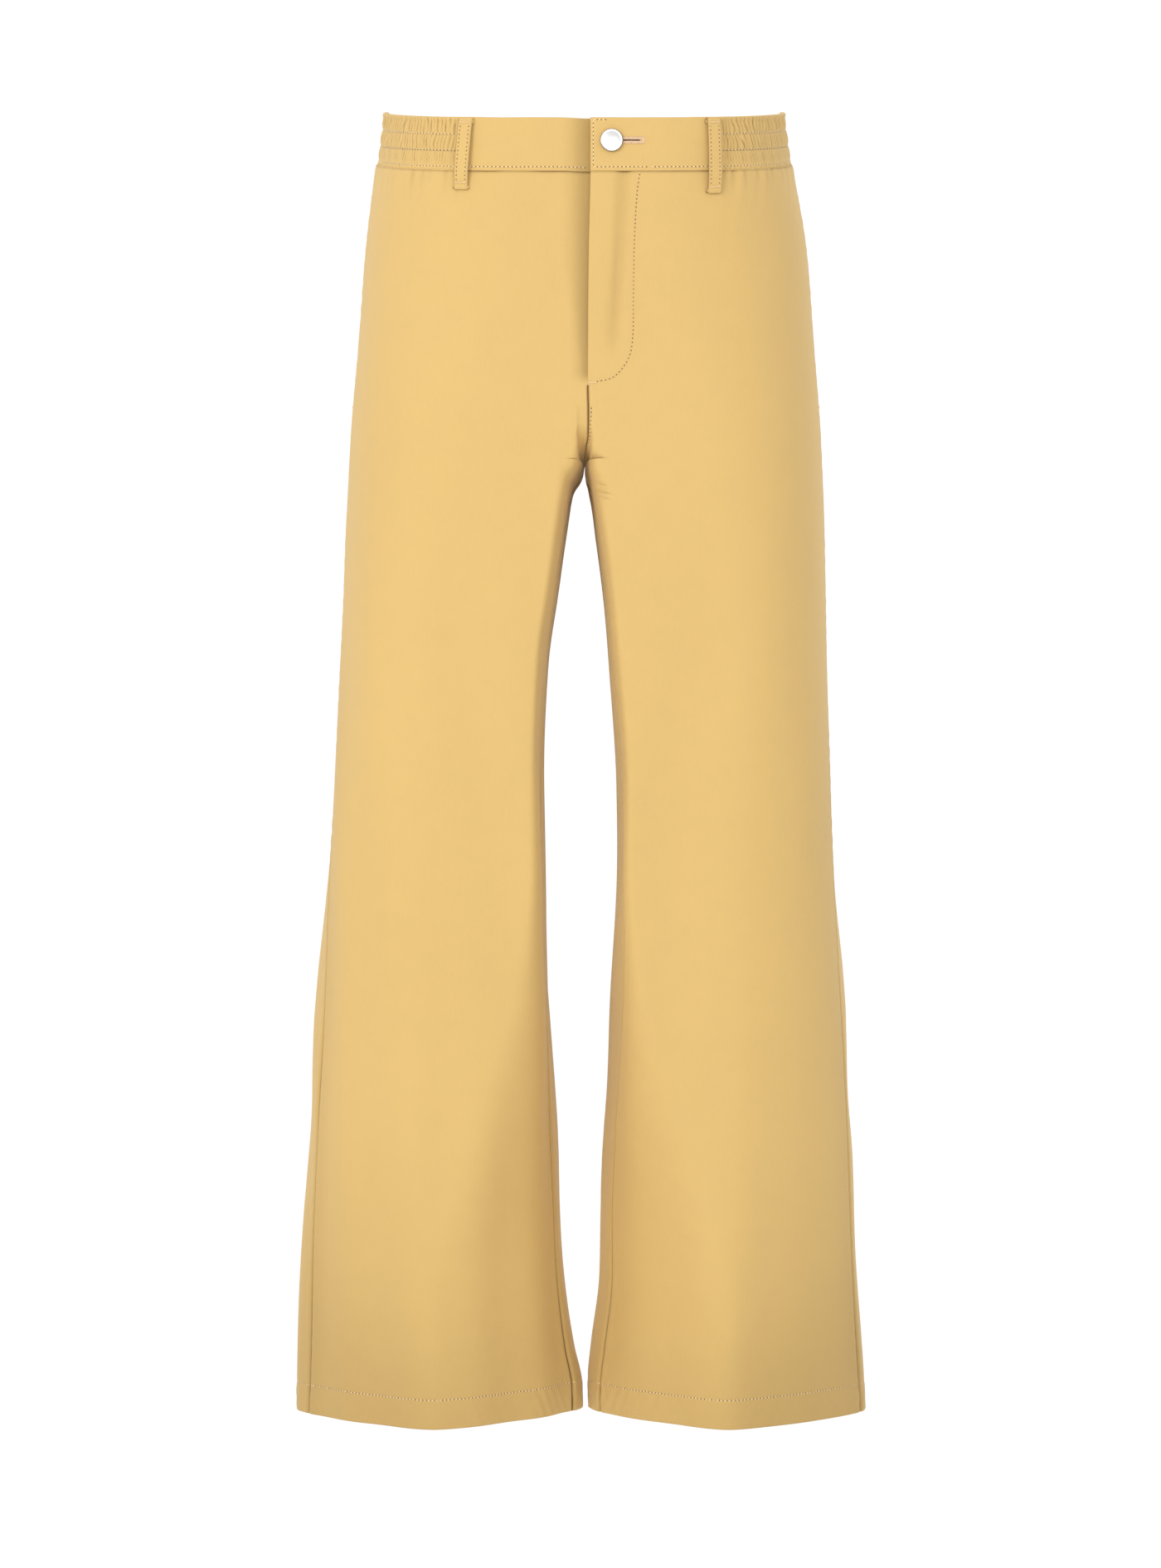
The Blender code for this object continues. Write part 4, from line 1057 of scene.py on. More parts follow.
def flap_cells(grid):
    """Which cells of the left front belong to the flap of the fly."""
    distance = grid.flat[:, -1:, 0] - grid.flat[..., 0]
    z = grid.points[..., 2]
    foot = z[:, -1:] > FLAP_PIECE_FOOT
    inside = (distance < FLAP_COLUMN + 0.1 * MM) & foot
    return inside[:-1, :-1] & inside[1:, :-1] & inside[:-1, 1:] & inside[1:, 1:]


def make_hems(grids, looks):
    """The cloth turned up inside each leg, and its line of stitching."""
    for side in SIGN:
        for face, nodes in (("front", [f"hem_fold_{side}"]), ("back", [])):
            grid = grids[face, side]
            rows = grid.flat[:, 0, 1] < HEM + HEM_DEPTH + 1.5 * MM
            lower = Grid(grid.points[rows], grid.flat[rows], grid.outward)
            inset = (0.15 + 1.25 * ease(0, 1.2, lower.flat[..., 1] - HEM)) * MM
            name = f"hem_turning_{face}_{side}"
            lay(name, lower.moved(-inset), looks["twill"], "root", *nodes, thick=0.8 * MM)
            width = grid.flat[-1, -1, 0]
            line = [(u, HEM + STITCH_FROM_HEM) for u in np.arange(1 * MM, width - 1 * MM, 1.5 * MM)]
            stitches = stitches_along(grid, line)
            sew(f"hem_stitching_{face}_{side}", stitches, looks["cream_thread"])


# Waistband


def gathers(arc, level, elastic):
    """(offset, painted shade) of cloth drawn up by the elastic in channels between rows of stitches."""
    shape = np.broadcast(arc, level).shape
    offset = np.zeros(shape)
    crease_and_painted_shade = np.zeros(shape)
    slant = np.where(arc > 0, 0.22, -0.12)
    for channel, (pitch, depth) in enumerate(((3.5, 0.95), (3.2, 0.85), (2.3, 0.5))):
        top, foot = CHANNELS[channel], CHANNELS[channel + 1]
        t = np.clip((level - foot) / (top - foot), 0, 1)
        swell = np.sin(np.pi * t) ** 0.6
        bent = 0.45 * waves(level + 0.3 * arc, 15, 27 + channel)
        drift = 0.8 * waves(arc, 17, 7 + channel) + 1.1 * waves(arc, 51, 3) + bent
        along = arc + slant * (level - top) + drift * MM
        ridge = np.abs(np.sin(np.pi * along / (pitch * MM))) ** 0.75
        height = np.clip(0.8 + 0.5 * waves(arc + 0.2 * level, 9, 11 + channel), 0.25, 1.4)
        fading = 1 - 0.75 * smoothstep(0.45, 0.05, t) * (channel == 2)
        inside = (level <= top) & (level > foot)
        form = 0.5 * swell + (0.2 + 0.8 * swell) * ridge * height * depth * fading
        offset = np.where(inside, form * MM, offset)
        # Painted shade in the valleys between the gathers, and a painted dark line along each row of
        # stitches.
        dark = (1 - ridge) ** 1.8 * height * (0.4 + 0.6 * swell) * (0.35 + 0.5 * depth) * fading
        row = 0.45 * bump(t, 1, 0.045) * (channel > 0)
        crease_and_painted_shade = np.where(inside, dark + row, crease_and_painted_shade)
    edge = bump(level, CHANNELS[3] - 1.6 * MM, 1.3 * MM) * (level <= CHANNELS[3])
    offset = offset + 0.5 * MM * edge * (0.6 + 0.7 * waves(arc, 4.2, 15))
    return offset * elastic, crease_and_painted_shade * elastic


FLAT_BAND_STITCH = -37.0 * MM
GATHERED = 1.35  # how much more cloth the gathered sides take up than their length
SHANK_CLEAR = 2.4 * MM

# The section of the waistband's outer cloth: level, inset and share of the elastic's thickness.
BAND_SECTION = (
    (-7.0, 2.05, 1), (-5.0, 2.05, 1), (-3.0, 2.0, 1), (-1.2, 1.95, 1), (-0.1, 1.75, 1),
    (0.5, 1.3, 0.7), (0.75, 0.7, 0.4), (0.6, 0.15, 0.1), (0.2, -0.3, 0), (-0.6, -0.45, 0),
    (-2.0, -0.5, 0),
)
BAND_FOOT_SECTION = (
    (-38.6, -0.5, 0), (-39.3, -0.4, 0), (-39.8, -0.15, 0),
    (-40.05, 0.25, 0), (-39.9, 0.7, 0), (-39.3, 0.95, 0),
)


def band_section(step):
    """Rows of (flat coordinate, level, inset, share of the core) from inside the top down."""
    count = int(36.6 / step)
    face = [(-2.0 - 36.6 * i / count, -0.5, 0) for i in range(1, count)]
    rows = [*BAND_SECTION, *face, *BAND_FOOT_SECTION]
    rows = np.array(rows) * np.array((MM, MM, 1))
    along = lengths_along(rows[:, :2])
    crown = np.interp(8, np.arange(len(rows)), along)
    return np.column_stack([crown - along, rows])


def along_elastic(arc, near, far):
    """1 along the elastic, easing off to 0 from one distance inside its ends to another."""
    start = np.where(arc >= 0, ELASTIC_FROM["left"], ELASTIC_FROM["right"])
    away = np.abs(np.where(arc > HALF_ROUND, 2 * HALF_ROUND - arc, arc))
    rising = smoothstep(start + near, start + far, away)
    return rising * (1 - smoothstep(ELASTIC_STOP - far, ELASTIC_STOP - near, away))


def core(arc):
    """What the elastic adds between the outer cloth and the facing."""
    return ELASTIC_STACK * along_elastic(arc, 5 * MM, 12 * MM)


def elastic_share(arc):
    """1 where the waistband is gathered, 0 where it is flat."""
    return along_elastic(arc, -1 * MM, 4 * MM)


def band_grid(arcs, rows, underlap=False, relief=None, fullness=1.0):
    """Cloth along the waist: rows of (flat coordinate, level, inset, share of the core)."""
    arc, level = np.meshgrid(arcs, rows[:, 1])
    inset = rows[:, 2:3] + rows[:, 3:4] * core(arc) + 0 * arc
    if underlap:
        inset = inset + fly_recess(arc, -60 * MM)
    crease_and_painted_shade = 0.0
    if relief is not None:
        offset, crease_and_painted_shade = relief(arc, level)
        outer = rows[:, 2:3] < 0.8 * MM
        inset = inset - offset * outer
        crease_and_painted_shade = crease_and_painted_shade * outer
        # A painted shadow line along the band's foot.
        crease_and_painted_shade = crease_and_painted_shade + 0.4 * bump(level, -BAND_HEIGHT, 0.5 * MM) * (rows[:, 2:3] > -0.3 * MM)
    outward = waist_outward(arc, level)
    points = waist_points(arc, level) - outward * inset[..., None]
    flat = stacked(arc * fullness, rows[:, :1])
    middle = ((rows[:, 2] < 0)[:, None, None]) * outward
    return Grid(points, flat, middle, crease_and_painted_shade)


def flat_band_relief(arc, level):
    """The flat parts of the band: a sunk line of stitching and a faint unevenness."""
    stitch = -0.22 * bump(level, FLAT_BAND_STITCH, 0.8 * MM)
    ripple = 0.10 * waves(arc, 8, 21) * bump(level, FLAT_BAND_STITCH, 5 * MM)
    broad = 0.28 * waves(arc + 0.3 * level, 44, 22) + 0.12 * waves(level, 17, 23)
    return (stitch + ripple + broad) * MM, 0.0


def underlap_relief(arc, level):
    offset, crease_and_painted_shade = flat_band_relief(arc, level)
    # Painted shadow where the band steps back beside the tab.
    return offset, crease_and_painted_shade + 0.4 * ease(-13, 3, arc)


def side_band_relief(arc, level):
    elastic = elastic_share(arc)
    sunk = 1.9 * MM * elastic * ease(0.5, -4, level)
    offset, crease_and_painted_shade = gathers(arc, level, elastic)
    flat, flat_painted_shade = flat_band_relief(arc, level)
    return offset - sunk + flat * (1 - elastic), crease_and_painted_shade + flat_painted_shade * (1 - elastic)


def tab_relief(arc, level):
    """The tab: rolled at its end, with the sunk line of the row of stitches beside it."""
    end = arc - FLAP_EDGE
    roll = -1.0 * np.clip(1 - end / (1.3 * MM), 0, 1) ** 2
    stitch = -0.2 * hump(end, 2.1, 0.7)
    pulled = 0.35 * hump(arc, 36, 11) * hump(level, -17, 9)
    offset, crease_and_painted_shade = flat_band_relief(arc, level)
    return offset + (roll + stitch + pulled) * MM, crease_and_painted_shade


def make_waistband(looks):
    rows = band_section(1.2)
    fine = band_section(0.9)
    stop = ELASTIC_STOP
    right = -ELASTIC_FROM["right"]
    left = ELASTIC_FROM["left"]
    side_right = np.append(np.arange(-stop, right + 0.3 * MM, 0.62 * MM)[:-1], right)
    side_left = np.append(np.arange(left, stop + 0.3 * MM, 0.62 * MM)[:-1], stop)
    front_right = np.arange(right, UNDERLAP_END + 0.1 * MM, 2 * MM)
    back = np.linspace(stop, 2 * HALF_ROUND - stop, 96)
    parts = {
        "front_right": (front_right, rows, True, underlap_relief),
        "front_left": (np.linspace(BAND_JOIN, left, 30), rows, False, flat_band_relief),
        "side_right": (side_right, fine, False, side_band_relief, GATHERED),
        "side_left": (side_left, fine, False, side_band_relief, GATHERED),
        "back": (back, rows, False, flat_band_relief),
    }
    grids = {}
    for name, shape in parts.items():
        grid = band_grid(*shape)
        grids[name] = grid
        keep = clear_of_shank(grid) if name == "front_right" else None
        held = "gathered" if name.startswith("side") else "folded"
        node = f"waistband_{name}"
        lay(f"band_{name}", grid, looks["twill"], "root", node, held=held, keep=keep)
    edge = FLAP_EDGE + series((0, 2, 0.4), (2, 45.1, 0.7))
    grid = band_grid(edge, band_section(0.7), False, tab_relief)
    grids["tab"] = grid
    lay("band_tab", grid, looks["twill"], "fly", "waistband_tab", keep=clear_of_hole(grid))
    make_facings(looks)
    return grids


def cell_middles(grid):
    points = grid.points
    return (points[:-1, :-1] + points[1:, :-1] + points[:-1, 1:] + points[1:, 1:]) / 4


def clear_of_shank(grid):
    middle = cell_middles(grid)
    return np.hypot(middle[..., 0] - BUTTON_X, middle[..., 2] - BUTTON_Z) > SHANK_CLEAR


def clear_of_hole(grid):
    """Cells outside the buttonhole: a slit with a round end for the shank."""
    middle = cell_middles(grid)
    x = middle[..., 0]
    z = middle[..., 2]
    slit = (np.abs(z - BUTTON_Z) < SLIT_HALF) & (x > BUTTON_X) & (x < HOLE_END_X)
    shank = np.hypot(x - BUTTON_X, z - BUTTON_Z) < SHANK_CLEAR
    return ~(slit | shank)


BUTTON_X = 20.5 * MM
BUTTON_Z = -42 * MM
HOLE_END_X = 42 * MM
SLIT_HALF = 0.8 * MM

# The facing's section, seen from inside the waist: level and inset.
FACING_SECTION = (
    (-1.4, 2.75), (-2.2, 2.95), (-4, 3.0), (-20, 3.0),
    (-36, 3.0), (-38.5, 2.9), (-40.2, 2.6), (-41.4, 2.3),
)


def facing_grid(arcs, with_core, underlap):
    heights = np.array(FACING_SECTION) * MM
    levels = series((-1.4, -3, -0.8), (-3, -38, -2.5), (-38, -41.4, -0.85))
    inset = np.interp(-levels, -heights[:, 0], heights[:, 1])
    rows = np.column_stack([levels, levels, inset, np.full(len(levels), float(with_core))])
    grid = band_grid(arcs, rows, underlap)
    arc = grid.flat[..., 0]
    level = grid.flat[..., 1]
    gather = elastic_share(arc) * (0.45 * waves(arc, 4.4, 31) + 0.3 * waves(arc, 11, 32))
    gather = gather * with_core
    for row in CHANNELS[1:]:
        gather = gather - 0.35 * bump(level, row, 1.1 * MM) * elastic_share(arc) * with_core
    outward = -waist_outward(arc, level)
    points = grid.points + outward * (gather * MM)[..., None]
    return Grid(points, grid.flat, outward)


def make_facings(looks):
    arcs = {
        "right": np.arange(-HALF_ROUND, UNDERLAP_END, 1.1 * MM),
        "left": np.arange(BAND_JOIN, HALF_ROUND + 0.5 * MM, 1.1 * MM),
    }
    how = {"thick": 0.6 * MM}
    for side in SIGN:
        grid = facing_grid(arcs[side], 1, side == "right")
        how["keep"] = clear_of_shank(grid) if side == "right" else None
        node = f"waistband_facing_{side}"
        lay(f"facing_{side}", grid, looks["facing"], "root", node, **how)
    grid = facing_grid(FLAP_EDGE + series((0.3, 45.1, 0.8)), 0, False)
    how["keep"] = clear_of_hole(grid)
    lay("facing_tab", grid, looks["facing"], "fly", "waistband_tab_facing", **how)


def make_elastics(looks):
    """The elastic inside each side of the waistband."""
    how = {"held": "stretched", "slot": "elastic", "thick": 1.0 * MM}
    levels = series((-3, -37.5, -1.5))
    rows = np.column_stack([levels, levels, np.full(len(levels), 3.2 * MM), 0 * levels])
    for side in SIGN:
        low = ELASTIC_FROM[side] + 14 * MM
        arcs = SIGN[side] * np.arange(low, ELASTIC_STOP - 14 * MM, 2.2 * MM)
        grid = band_grid(np.sort(arcs), rows, fullness=0.75)
        lay(f"elastic_strip_{side}", grid, looks["elastic"], "root", f"elastic_{side}", **how)


def make_band_stitching(grids, looks):
    """Rows of stitching along the waistband."""
    cream = looks["cream_thread"]
    for name in ("side_right", "side_left", "front_right", "front_left", "back"):
        grid = grids[name]
        first, last = grid.flat[0, (0, -1), 0]
        if name == "front_right":
            last = min(last, 2 * MM)
        gathered = name.startswith("side")
        step, sunk = (0.9 * MM, 0.15) if gathered else (1.5 * MM, 0.35)
        stitches = []
        for level in CHANNELS[1:] if gathered else [FLAT_BAND_STITCH]:
            line = [(u, level) for u in np.arange(first, last, step)]
            stitches += stitches_along(grid, line, sunk=sunk)
        sew(f"band_stitching_{name}", stitches, cream)
    grid = grids["tab"]
    start = FLAP_EDGE + 2.1 * MM
    foot = FLAT_BAND_STITCH
    stitches = stitches_along(grid, [(u, foot) for u in np.arange(start, 49 * MM, 1.2 * MM)])
    stitches += stitches_along(grid, [(start, v) for v in np.arange(-1.2 * MM, foot, -1.2 * MM)])
    top = [(u, -1.5 * MM) for u in np.arange(start, FLAP_EDGE + 13 * MM, 1.2 * MM)]
    stitches += stitches_along(grid, top)
    sew("tab_stitching", stitches, cream, "fly")


# Belt loops

LOOPS = (
    ("belt_loop_front_right", -88.2, 55, -4.5),
    ("belt_loop_front_left", 96.5, 58, 0.5),
    ("belt_loop_back_right", 99 - HALF_ROUND / MM, 56, 1.0),
    ("belt_loop_back_left", HALF_ROUND / MM - 99, 56, -1.5),
    ("belt_loop_back_centre", HALF_ROUND / MM, 56, 0.7),
)
LOOP_HALF = 5.3 * MM
LOOP_STITCH = 3.3 * MM


def loop_grid(arc, length, slant):
    """A strip that stands off the band, from its tucked top end to its tucked foot."""
    path = (  # level, then how far out
        (-4.5, 1.1), (-2.6, 1.3), (-1.0, 1.7), (-0.3, 2.6), (-0.6, 3.6), (-2.0, 4.2),
        (-5.0, 4.5), (-11.0, 5.0), (-25.0, 5.4), (15 - length, 5.2), (9 - length, 4.3),
        (5 - length, 3.3), (2.2 - length, 2.9),
        (0.6 - length, 2.4), (0.1 - length, 1.7), (0.8 - length, 1.1), (3.5 - length, 0.9),
    )
    route = line_through(path, 0.8 * MM)
    along = lengths_along(route)
    across = np.concatenate([series((-5.3, -4.1, 0.3), (-4.1, 4.1, 0.9)), series((4.4, 5.3, 0.3))])
    place, level = np.meshgrid(arc * MM + across, route[:, 0])
    place = place - slant * level / length
    outward = waist_outward(place, level)
    from_edge = LOOP_HALF - np.abs(across)[None, :]
    roll = -0.8 * np.clip(1 - from_edge / (1.0 * MM), 0, 1) ** 2
    groove = -0.16 * bump(from_edge, LOOP_HALF - LOOP_STITCH, 0.5 * MM)
    uneven = 0.12 * waves(along, 7, int(abs(arc)))[:, None]
    away = route[:, 1:] + (roll + groove + uneven) * MM
    points = waist_points(place, level) + outward * away[..., None]
    flat = stacked(across[None, :], -along[:, None])
    middle = np.zeros_like(outward)
    middle[20:-20] = outward[20:-20]
    # Painted shade along the loop's rolled edges, and a painted shadow down its left side.
    left_edge = hump(across + LOOP_HALF, 0, 0.5)[None, :]
    crease_and_painted_shade = 0.2 * hump(from_edge, 0, 0.5) + 0.6 * left_edge
    return Grid(points, flat, middle, crease_and_painted_shade)


def bartack(grid, u, v, half_length, half_height=0.9 * MM, upright=False):
    """A dense bar of short stitches across a line."""
    stitches = []
    pitch = 0.42 * MM
    count = int(2 * half_length / pitch)
    for i in range(count):
        x = -half_length + pitch * (i + 0.5)
        lean = 0.15 * MM
        ends = ((x - lean, -half_height), (x + lean, half_height))
        if upright:
            ends = tuple((b, a) for a, b in ends)
        found = [grid.find(u + a, v + b) for a, b in ends]
        normal = (found[0][1] + found[1][1]) / 2
        lift = normal * 0.2 * MM
        stitches.append((found[0][0] + lift, found[1][0] + lift, normal, 0.24 * MM))
    return stitches


def make_belt_loops(looks):
    for name, arc, length, slant in LOOPS:
        grid = loop_grid(arc, length, slant)
        lay(f"{name}_strip", grid, looks["twill"], "root", name, thick=1.5 * MM)
        end = grid.flat[-1, 0, 1]
        stitches = []
        for across in (-LOOP_STITCH, LOOP_STITCH):
            line = [(across, v) for v in np.arange(-6.5 * MM, end + 7 * MM, -1 * MM)]
            stitches += stitches_along(grid, line)
        for v in (-9.5 * MM, end + 8.5 * MM):
            stitches += bartack(grid, 0, v, 4.3 * MM)
        sew(f"{name}_stitching", stitches, looks["thread"])


# Fly, zip and button


def upright_sheet(line, top, foot, step=2.5 * MM):
    """A sheet that stands on a line of (x, y) points in millimetres, and faces forward."""
    route = line_through(line, 0.8 * MM)
    heights = np.linspace(top, foot, int((top - foot) / step))[:, None]
    flat = stacked(lengths_along(route)[None, :], heights)
    return Grid(stacked(*route.T[:, None, :], heights), flat, np.array([0, -1, 0]))


def fly_facing_grid():
    """The facing behind the flap, cut to the stitched outline."""
    top = float(front_height(-BAND_HEIGHT)) - 1 * MM
    z = np.linspace(top, FLY_FOOT + 2.5 * MM, 90)[:, None]
    start = FLAP_EDGE + 0.8 * MM
    wide = np.maximum(stitched_limit(z) - 1.2 * MM - start, 1 * MM)
    arc = start + np.linspace(0, 1, 26)[None, :] * wide
    body = BODY["left"]
    points = body.point(z, 1 - arc / body.length("front", z))
    return Grid(points, stacked(arc, z), np.array([0, 1, 0])).moved(2.5 * MM)


def bevelled(node, made_of, width=0.18 * MM):
    """A finer copy of a solid, with rounded edges, to stand for it."""
    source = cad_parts[node]
    mesh = source.data.copy()
    mesh.materials.clear()
    thing = new_object(f"{node}_fine", mesh, made_of)
    thing.matrix_world = source.matrix_world
    work = bmesh.new()
    work.from_mesh(mesh)
    bmesh.ops.remove_doubles(work, verts=work.verts, dist=0.00001)
    bmesh.ops.dissolve_limit(work, angle_limit=math.radians(1), verts=work.verts, edges=work.edges)
    work.to_mesh(mesh)
    work.free()
    made = thing.modifiers.new("edges", "BEVEL")
    made.width = width
    made.segments = 2
    made.limit_method = "ANGLE"
    made.angle_limit = math.radians(35)
    apply_modifiers(thing)
    shade(thing.data, 40)
    return thing


def make_fly(grids, looks):
    name = "fly_facing_cloth"
    lay(name, fly_facing_grid(), looks["facing"], "fly", "fly_facing", thick=0.7 * MM)
    top = float(front_height(-BAND_HEIGHT)) - 1.5 * MM
    line = ((3, -104.9), (14, -101.3), (30, -100.9), (46, -100.6))
    shield = upright_sheet(line, top, FLY_FOOT - 4 * MM)
    shield = shield.moved(0.35 * waves(shield.flat[..., 1], 45, 17) * MM)
    how = {"held": "hung", "thick": 0.9 * MM}
    lay("fly_shield_cloth", shield, looks["twill"], "root", "fly_shield", **how)
    grid = grids["front", "left"]
    stitches = stitches_along(grid, [front_flat("left", arc, z) for arc, z in J_POINTS])
    tack = front_flat("left", 5.2 * MM, FLY_FOOT - 0.6 * MM)
    stitches += bartack(grid, *tack, 4.0 * MM, 1.0 * MM)
    sew("fly_stitching", stitches, looks["thread"], "fly")


def front_flat(side, arc, z):
    """Flat coordinates on a front panel of an arc from centre front and a height."""
    level = float(level_at_front(z))
    length = float(BODY[side].length("front", level))
    return (length - arc - float(OUTSEAM_AT[side](level)), level)


def make_zip(looks):
    right = ((8, -105.2), (12.5, -104.9), (17, -104.6), (19.6, -104.5))
    left = ((24.4, -104.5), (27, -104.7), (31.5, -106.8), (36, -108.8))
    how = {"slot": "tape", "thick": 0.45 * MM}
    for side, line, foot, body in (("right", right, -222, "root"), ("left", left, -200, "fly")):
        grid = upright_sheet(line, -66.5 * MM, foot * MM, 2 * MM)
        name = f"zip_tape_{side}"
        lay(f"{name}_woven", grid, looks["tape"], body, name, **how)
    root = ("zip_chain_right", "zip_top_stop_right", "zip_bottom_stop", "button_stud")
    for body, metal, nodes in (
        ("root", "brass", root),
        ("fly", "brass", ("zip_chain_left", "zip_top_stop_left")),
        ("slider", "nickel", ("zip_slider",)),
        ("pull", "nickel", ("zip_pull",)),
    ):
        for node in nodes:
            put(bevelled(node, looks[metal]), body, node)


def turned(name, profile, made_of, slot, count=96):
    """A round piece about a line along Y, from (radius, y) points."""
    angles = 2 * math.pi * np.arange(count) / count
    points = []
    for radius, y in profile:
        points += [(radius * math.cos(a), y, radius * math.sin(a)) for a in angles]
    faces = []
    for r in range(len(profile) - 1):
        for i in range(count):
            a, b = r * count + i, r * count + (i + 1) % count
            faces.append((a, b, b + count, a + count))
    mesh = mesh_of(name, points, faces)
    work = bmesh.new()
    work.from_mesh(mesh)
    bmesh.ops.remove_doubles(work, verts=work.verts, dist=0.000001)
    bmesh.ops.recalc_face_normals(work, faces=work.faces)
    work.to_mesh(mesh)
    work.free()
    shade(mesh, 60)
    return new_object(name, mesh, made_of)


def make_button(looks):
    """A shank button's cap: a shallow dome in a rolled rim."""
    low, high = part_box("button_cap")
    middle = (Vector(low) + Vector(high)) / 2
    radius = (high[0] - low[0]) / 2 / MM
    crown = low[1] / MM
    back = high[1] / MM
    rows = [(0.001, back), (radius - 1.2, back), (radius - 0.4, back - 0.15)]
    rim = back - 1.25
    for i in range(9):
        angle = math.radians(-60 + i * 22.5)
        rows.append((radius - 0.75 + 0.75 * math.cos(angle), rim - 0.1 - 0.75 * math.sin(angle)))
    rows += [(radius - 1.5, rim - 0.62), (radius - 1.85, rim - 0.68)]
    for share in np.linspace(0.97, 0, 14):
        rise = (crown - (rim - 0.7)) * (1 - share**2)
        rows.append((max((radius - 2.0) * share, 0.001), rim - 0.7 + rise))
    profile = [(r * MM, y * MM) for r, y in rows]
    cap = turned("button_cap_fine", profile, looks["button"], "nickel")
    cap.data.materials.append(looks["rim"])
    for face in cap.data.polygons:
        if math.hypot(face.center.x, face.center.z) > (radius - 0.62) * MM:
            face.material_index = 1
    for vertex in cap.data.vertices:
        vertex.co.x += middle.x
        vertex.co.z += middle.z
    put(cap, "button", "button_cap")


def make_buttonhole(grid, looks):
    """Worked thread round the slit: close stitches across its edges and a bar at its end."""
    random = np.random.default_rng(5)
    stitches = []
    first = BUTTON_X + 1.5 * MM
    last = 43.2 * MM

    def stitch(ends, radius=0.27 * MM):
        found = [tab_place(grid, x, z) for x, z in ends]
        normal = (found[0][1] + found[1][1]) / 2
        lift = normal * random.uniform(0.25, 0.5) * MM
        stitches.append((found[0][0] + lift, found[1][0] + lift, normal, radius))

    for side in (-1, 1):
        for x in np.arange(first, last, 0.46 * MM):
            lean = random.uniform(-0.25, 0.25) * MM
            near = (0.35 + random.uniform(-0.1, 0.15)) * MM
            far = (2.85 + random.uniform(-0.25, 0.2)) * MM
            stitch(((x, BUTTON_Z + side * near), (x + lean, BUTTON_Z + side * far)))
        for x in np.arange(first, last - 1.2 * MM, 1.1 * MM):
            z = BUTTON_Z + side * (0.75 + random.uniform(-0.1, 0.1)) * MM
            stitch(((x, z), (x + 1.3 * MM, z + random.uniform(-0.1, 0.1) * MM)), 0.24 * MM)
    for x in np.arange(last, last + 1.3 * MM, 0.4 * MM):
        reach = (2.9 + random.uniform(-0.15, 0.15)) * MM
        stitch(((x, BUTTON_Z - reach), (x, BUTTON_Z + reach)), 0.3 * MM)
    sew("buttonhole_threads", stitches, looks["hole_thread"], "fly", "buttonhole_edge")


def tab_place(grid, x, z):
    """The point and normal of the tab in front of a place on the front plane."""
    return grid.find(x, z + TILT_FRONT * FRONT_DEPTH)


# Pockets

BAG_WIDTHS = Curve(
    ((-43, 95), (-100, 120), (-160, 140), (-220, 146), (-270, 136), (-300, 112), (-312, 80))
)
POCKET_EDGE = 4 * MM
LINING = {"held": "hung", "slot": "lining", "thick": 0.8 * MM}

# A back welt: its ends as arcs from centre back, and its top, middle and foot as levels.
WELT_FROM = 42 * MM
WELT_TO = 172 * MM
WELT_TOP = -88 * MM
WELT_MIDDLE = -94 * MM
WELT_FOOT = -100 * MM


def make_pockets(grids, looks):
    levels = series((-43, -312, -4))[:, None]
    width = BAG_WIDTHS(levels)
    across = POCKET_EDGE + np.linspace(0, 1, 44)[None, :] * (width - POCKET_EDGE)
    flat = stacked(across, levels)
    wave = 0.5 * waves(flat[..., 1] + flat[..., 0], 50, 5) * MM
    edge = [(u - POCKET_EDGE, float(level)) for u, level in flat[:-1, -1]]
    for side in SIGN:
        points = on_body(side, levels, across / BODY[side].length("front", levels))
        grid = Grid(points, flat, np.array([0, -1, 0])).moved(-3.6 * MM + wave)
        name = f"side_pocket_bag_{side}"
        lay(name, grid, looks["lining"], "root", f"pocket_bag_{side}", **LINING)
        stitches = stitches_along(grid, edge, sunk=-1.2)
        sew(f"side_pocket_bag_seam_{side}", stitches, looks["thread"])
        make_back_pocket(side, grids["back", side], looks)
        tacks = []
        for level in POCKET_MOUTH:
            tacks += bartack(grids["front", side], 4.2 * MM, level, 3.4 * MM)
        sew(f"pocket_mouth_tacks_{side}", tacks, looks["thread"])


def back_patch(side, arcs, levels, offset):
    """A sheet that follows the back between two arcs from centre back."""
    across, level = np.meshgrid(arcs, levels)
    body = BODY[side]
    points = on_body(side, level, -1 + across / body.length("back", level))
    grid = Grid(points, stacked(across, level), np.array([0, 1, 0]))
    return grid.moved(offset(across, level) + held_folds(side, "back", across, level, across))


def welt_lips(across, level):
    """The two rolled lips, with the slit between them."""
    from_end = np.minimum(across - WELT_FROM, WELT_TO - across)
    from_side = np.minimum(WELT_TOP - level, level - WELT_FOOT)
    swell = 1.05 * ease(-0.2, 1.2, np.minimum(from_end, from_side))
    slit = -1.3 * bump(level, WELT_MIDDLE, 0.5 * MM) * ease(2, 6, from_end)
    ripple = 0.08 * waves(across, 12, 19)
    return (0.05 + swell + slit + ripple) * MM


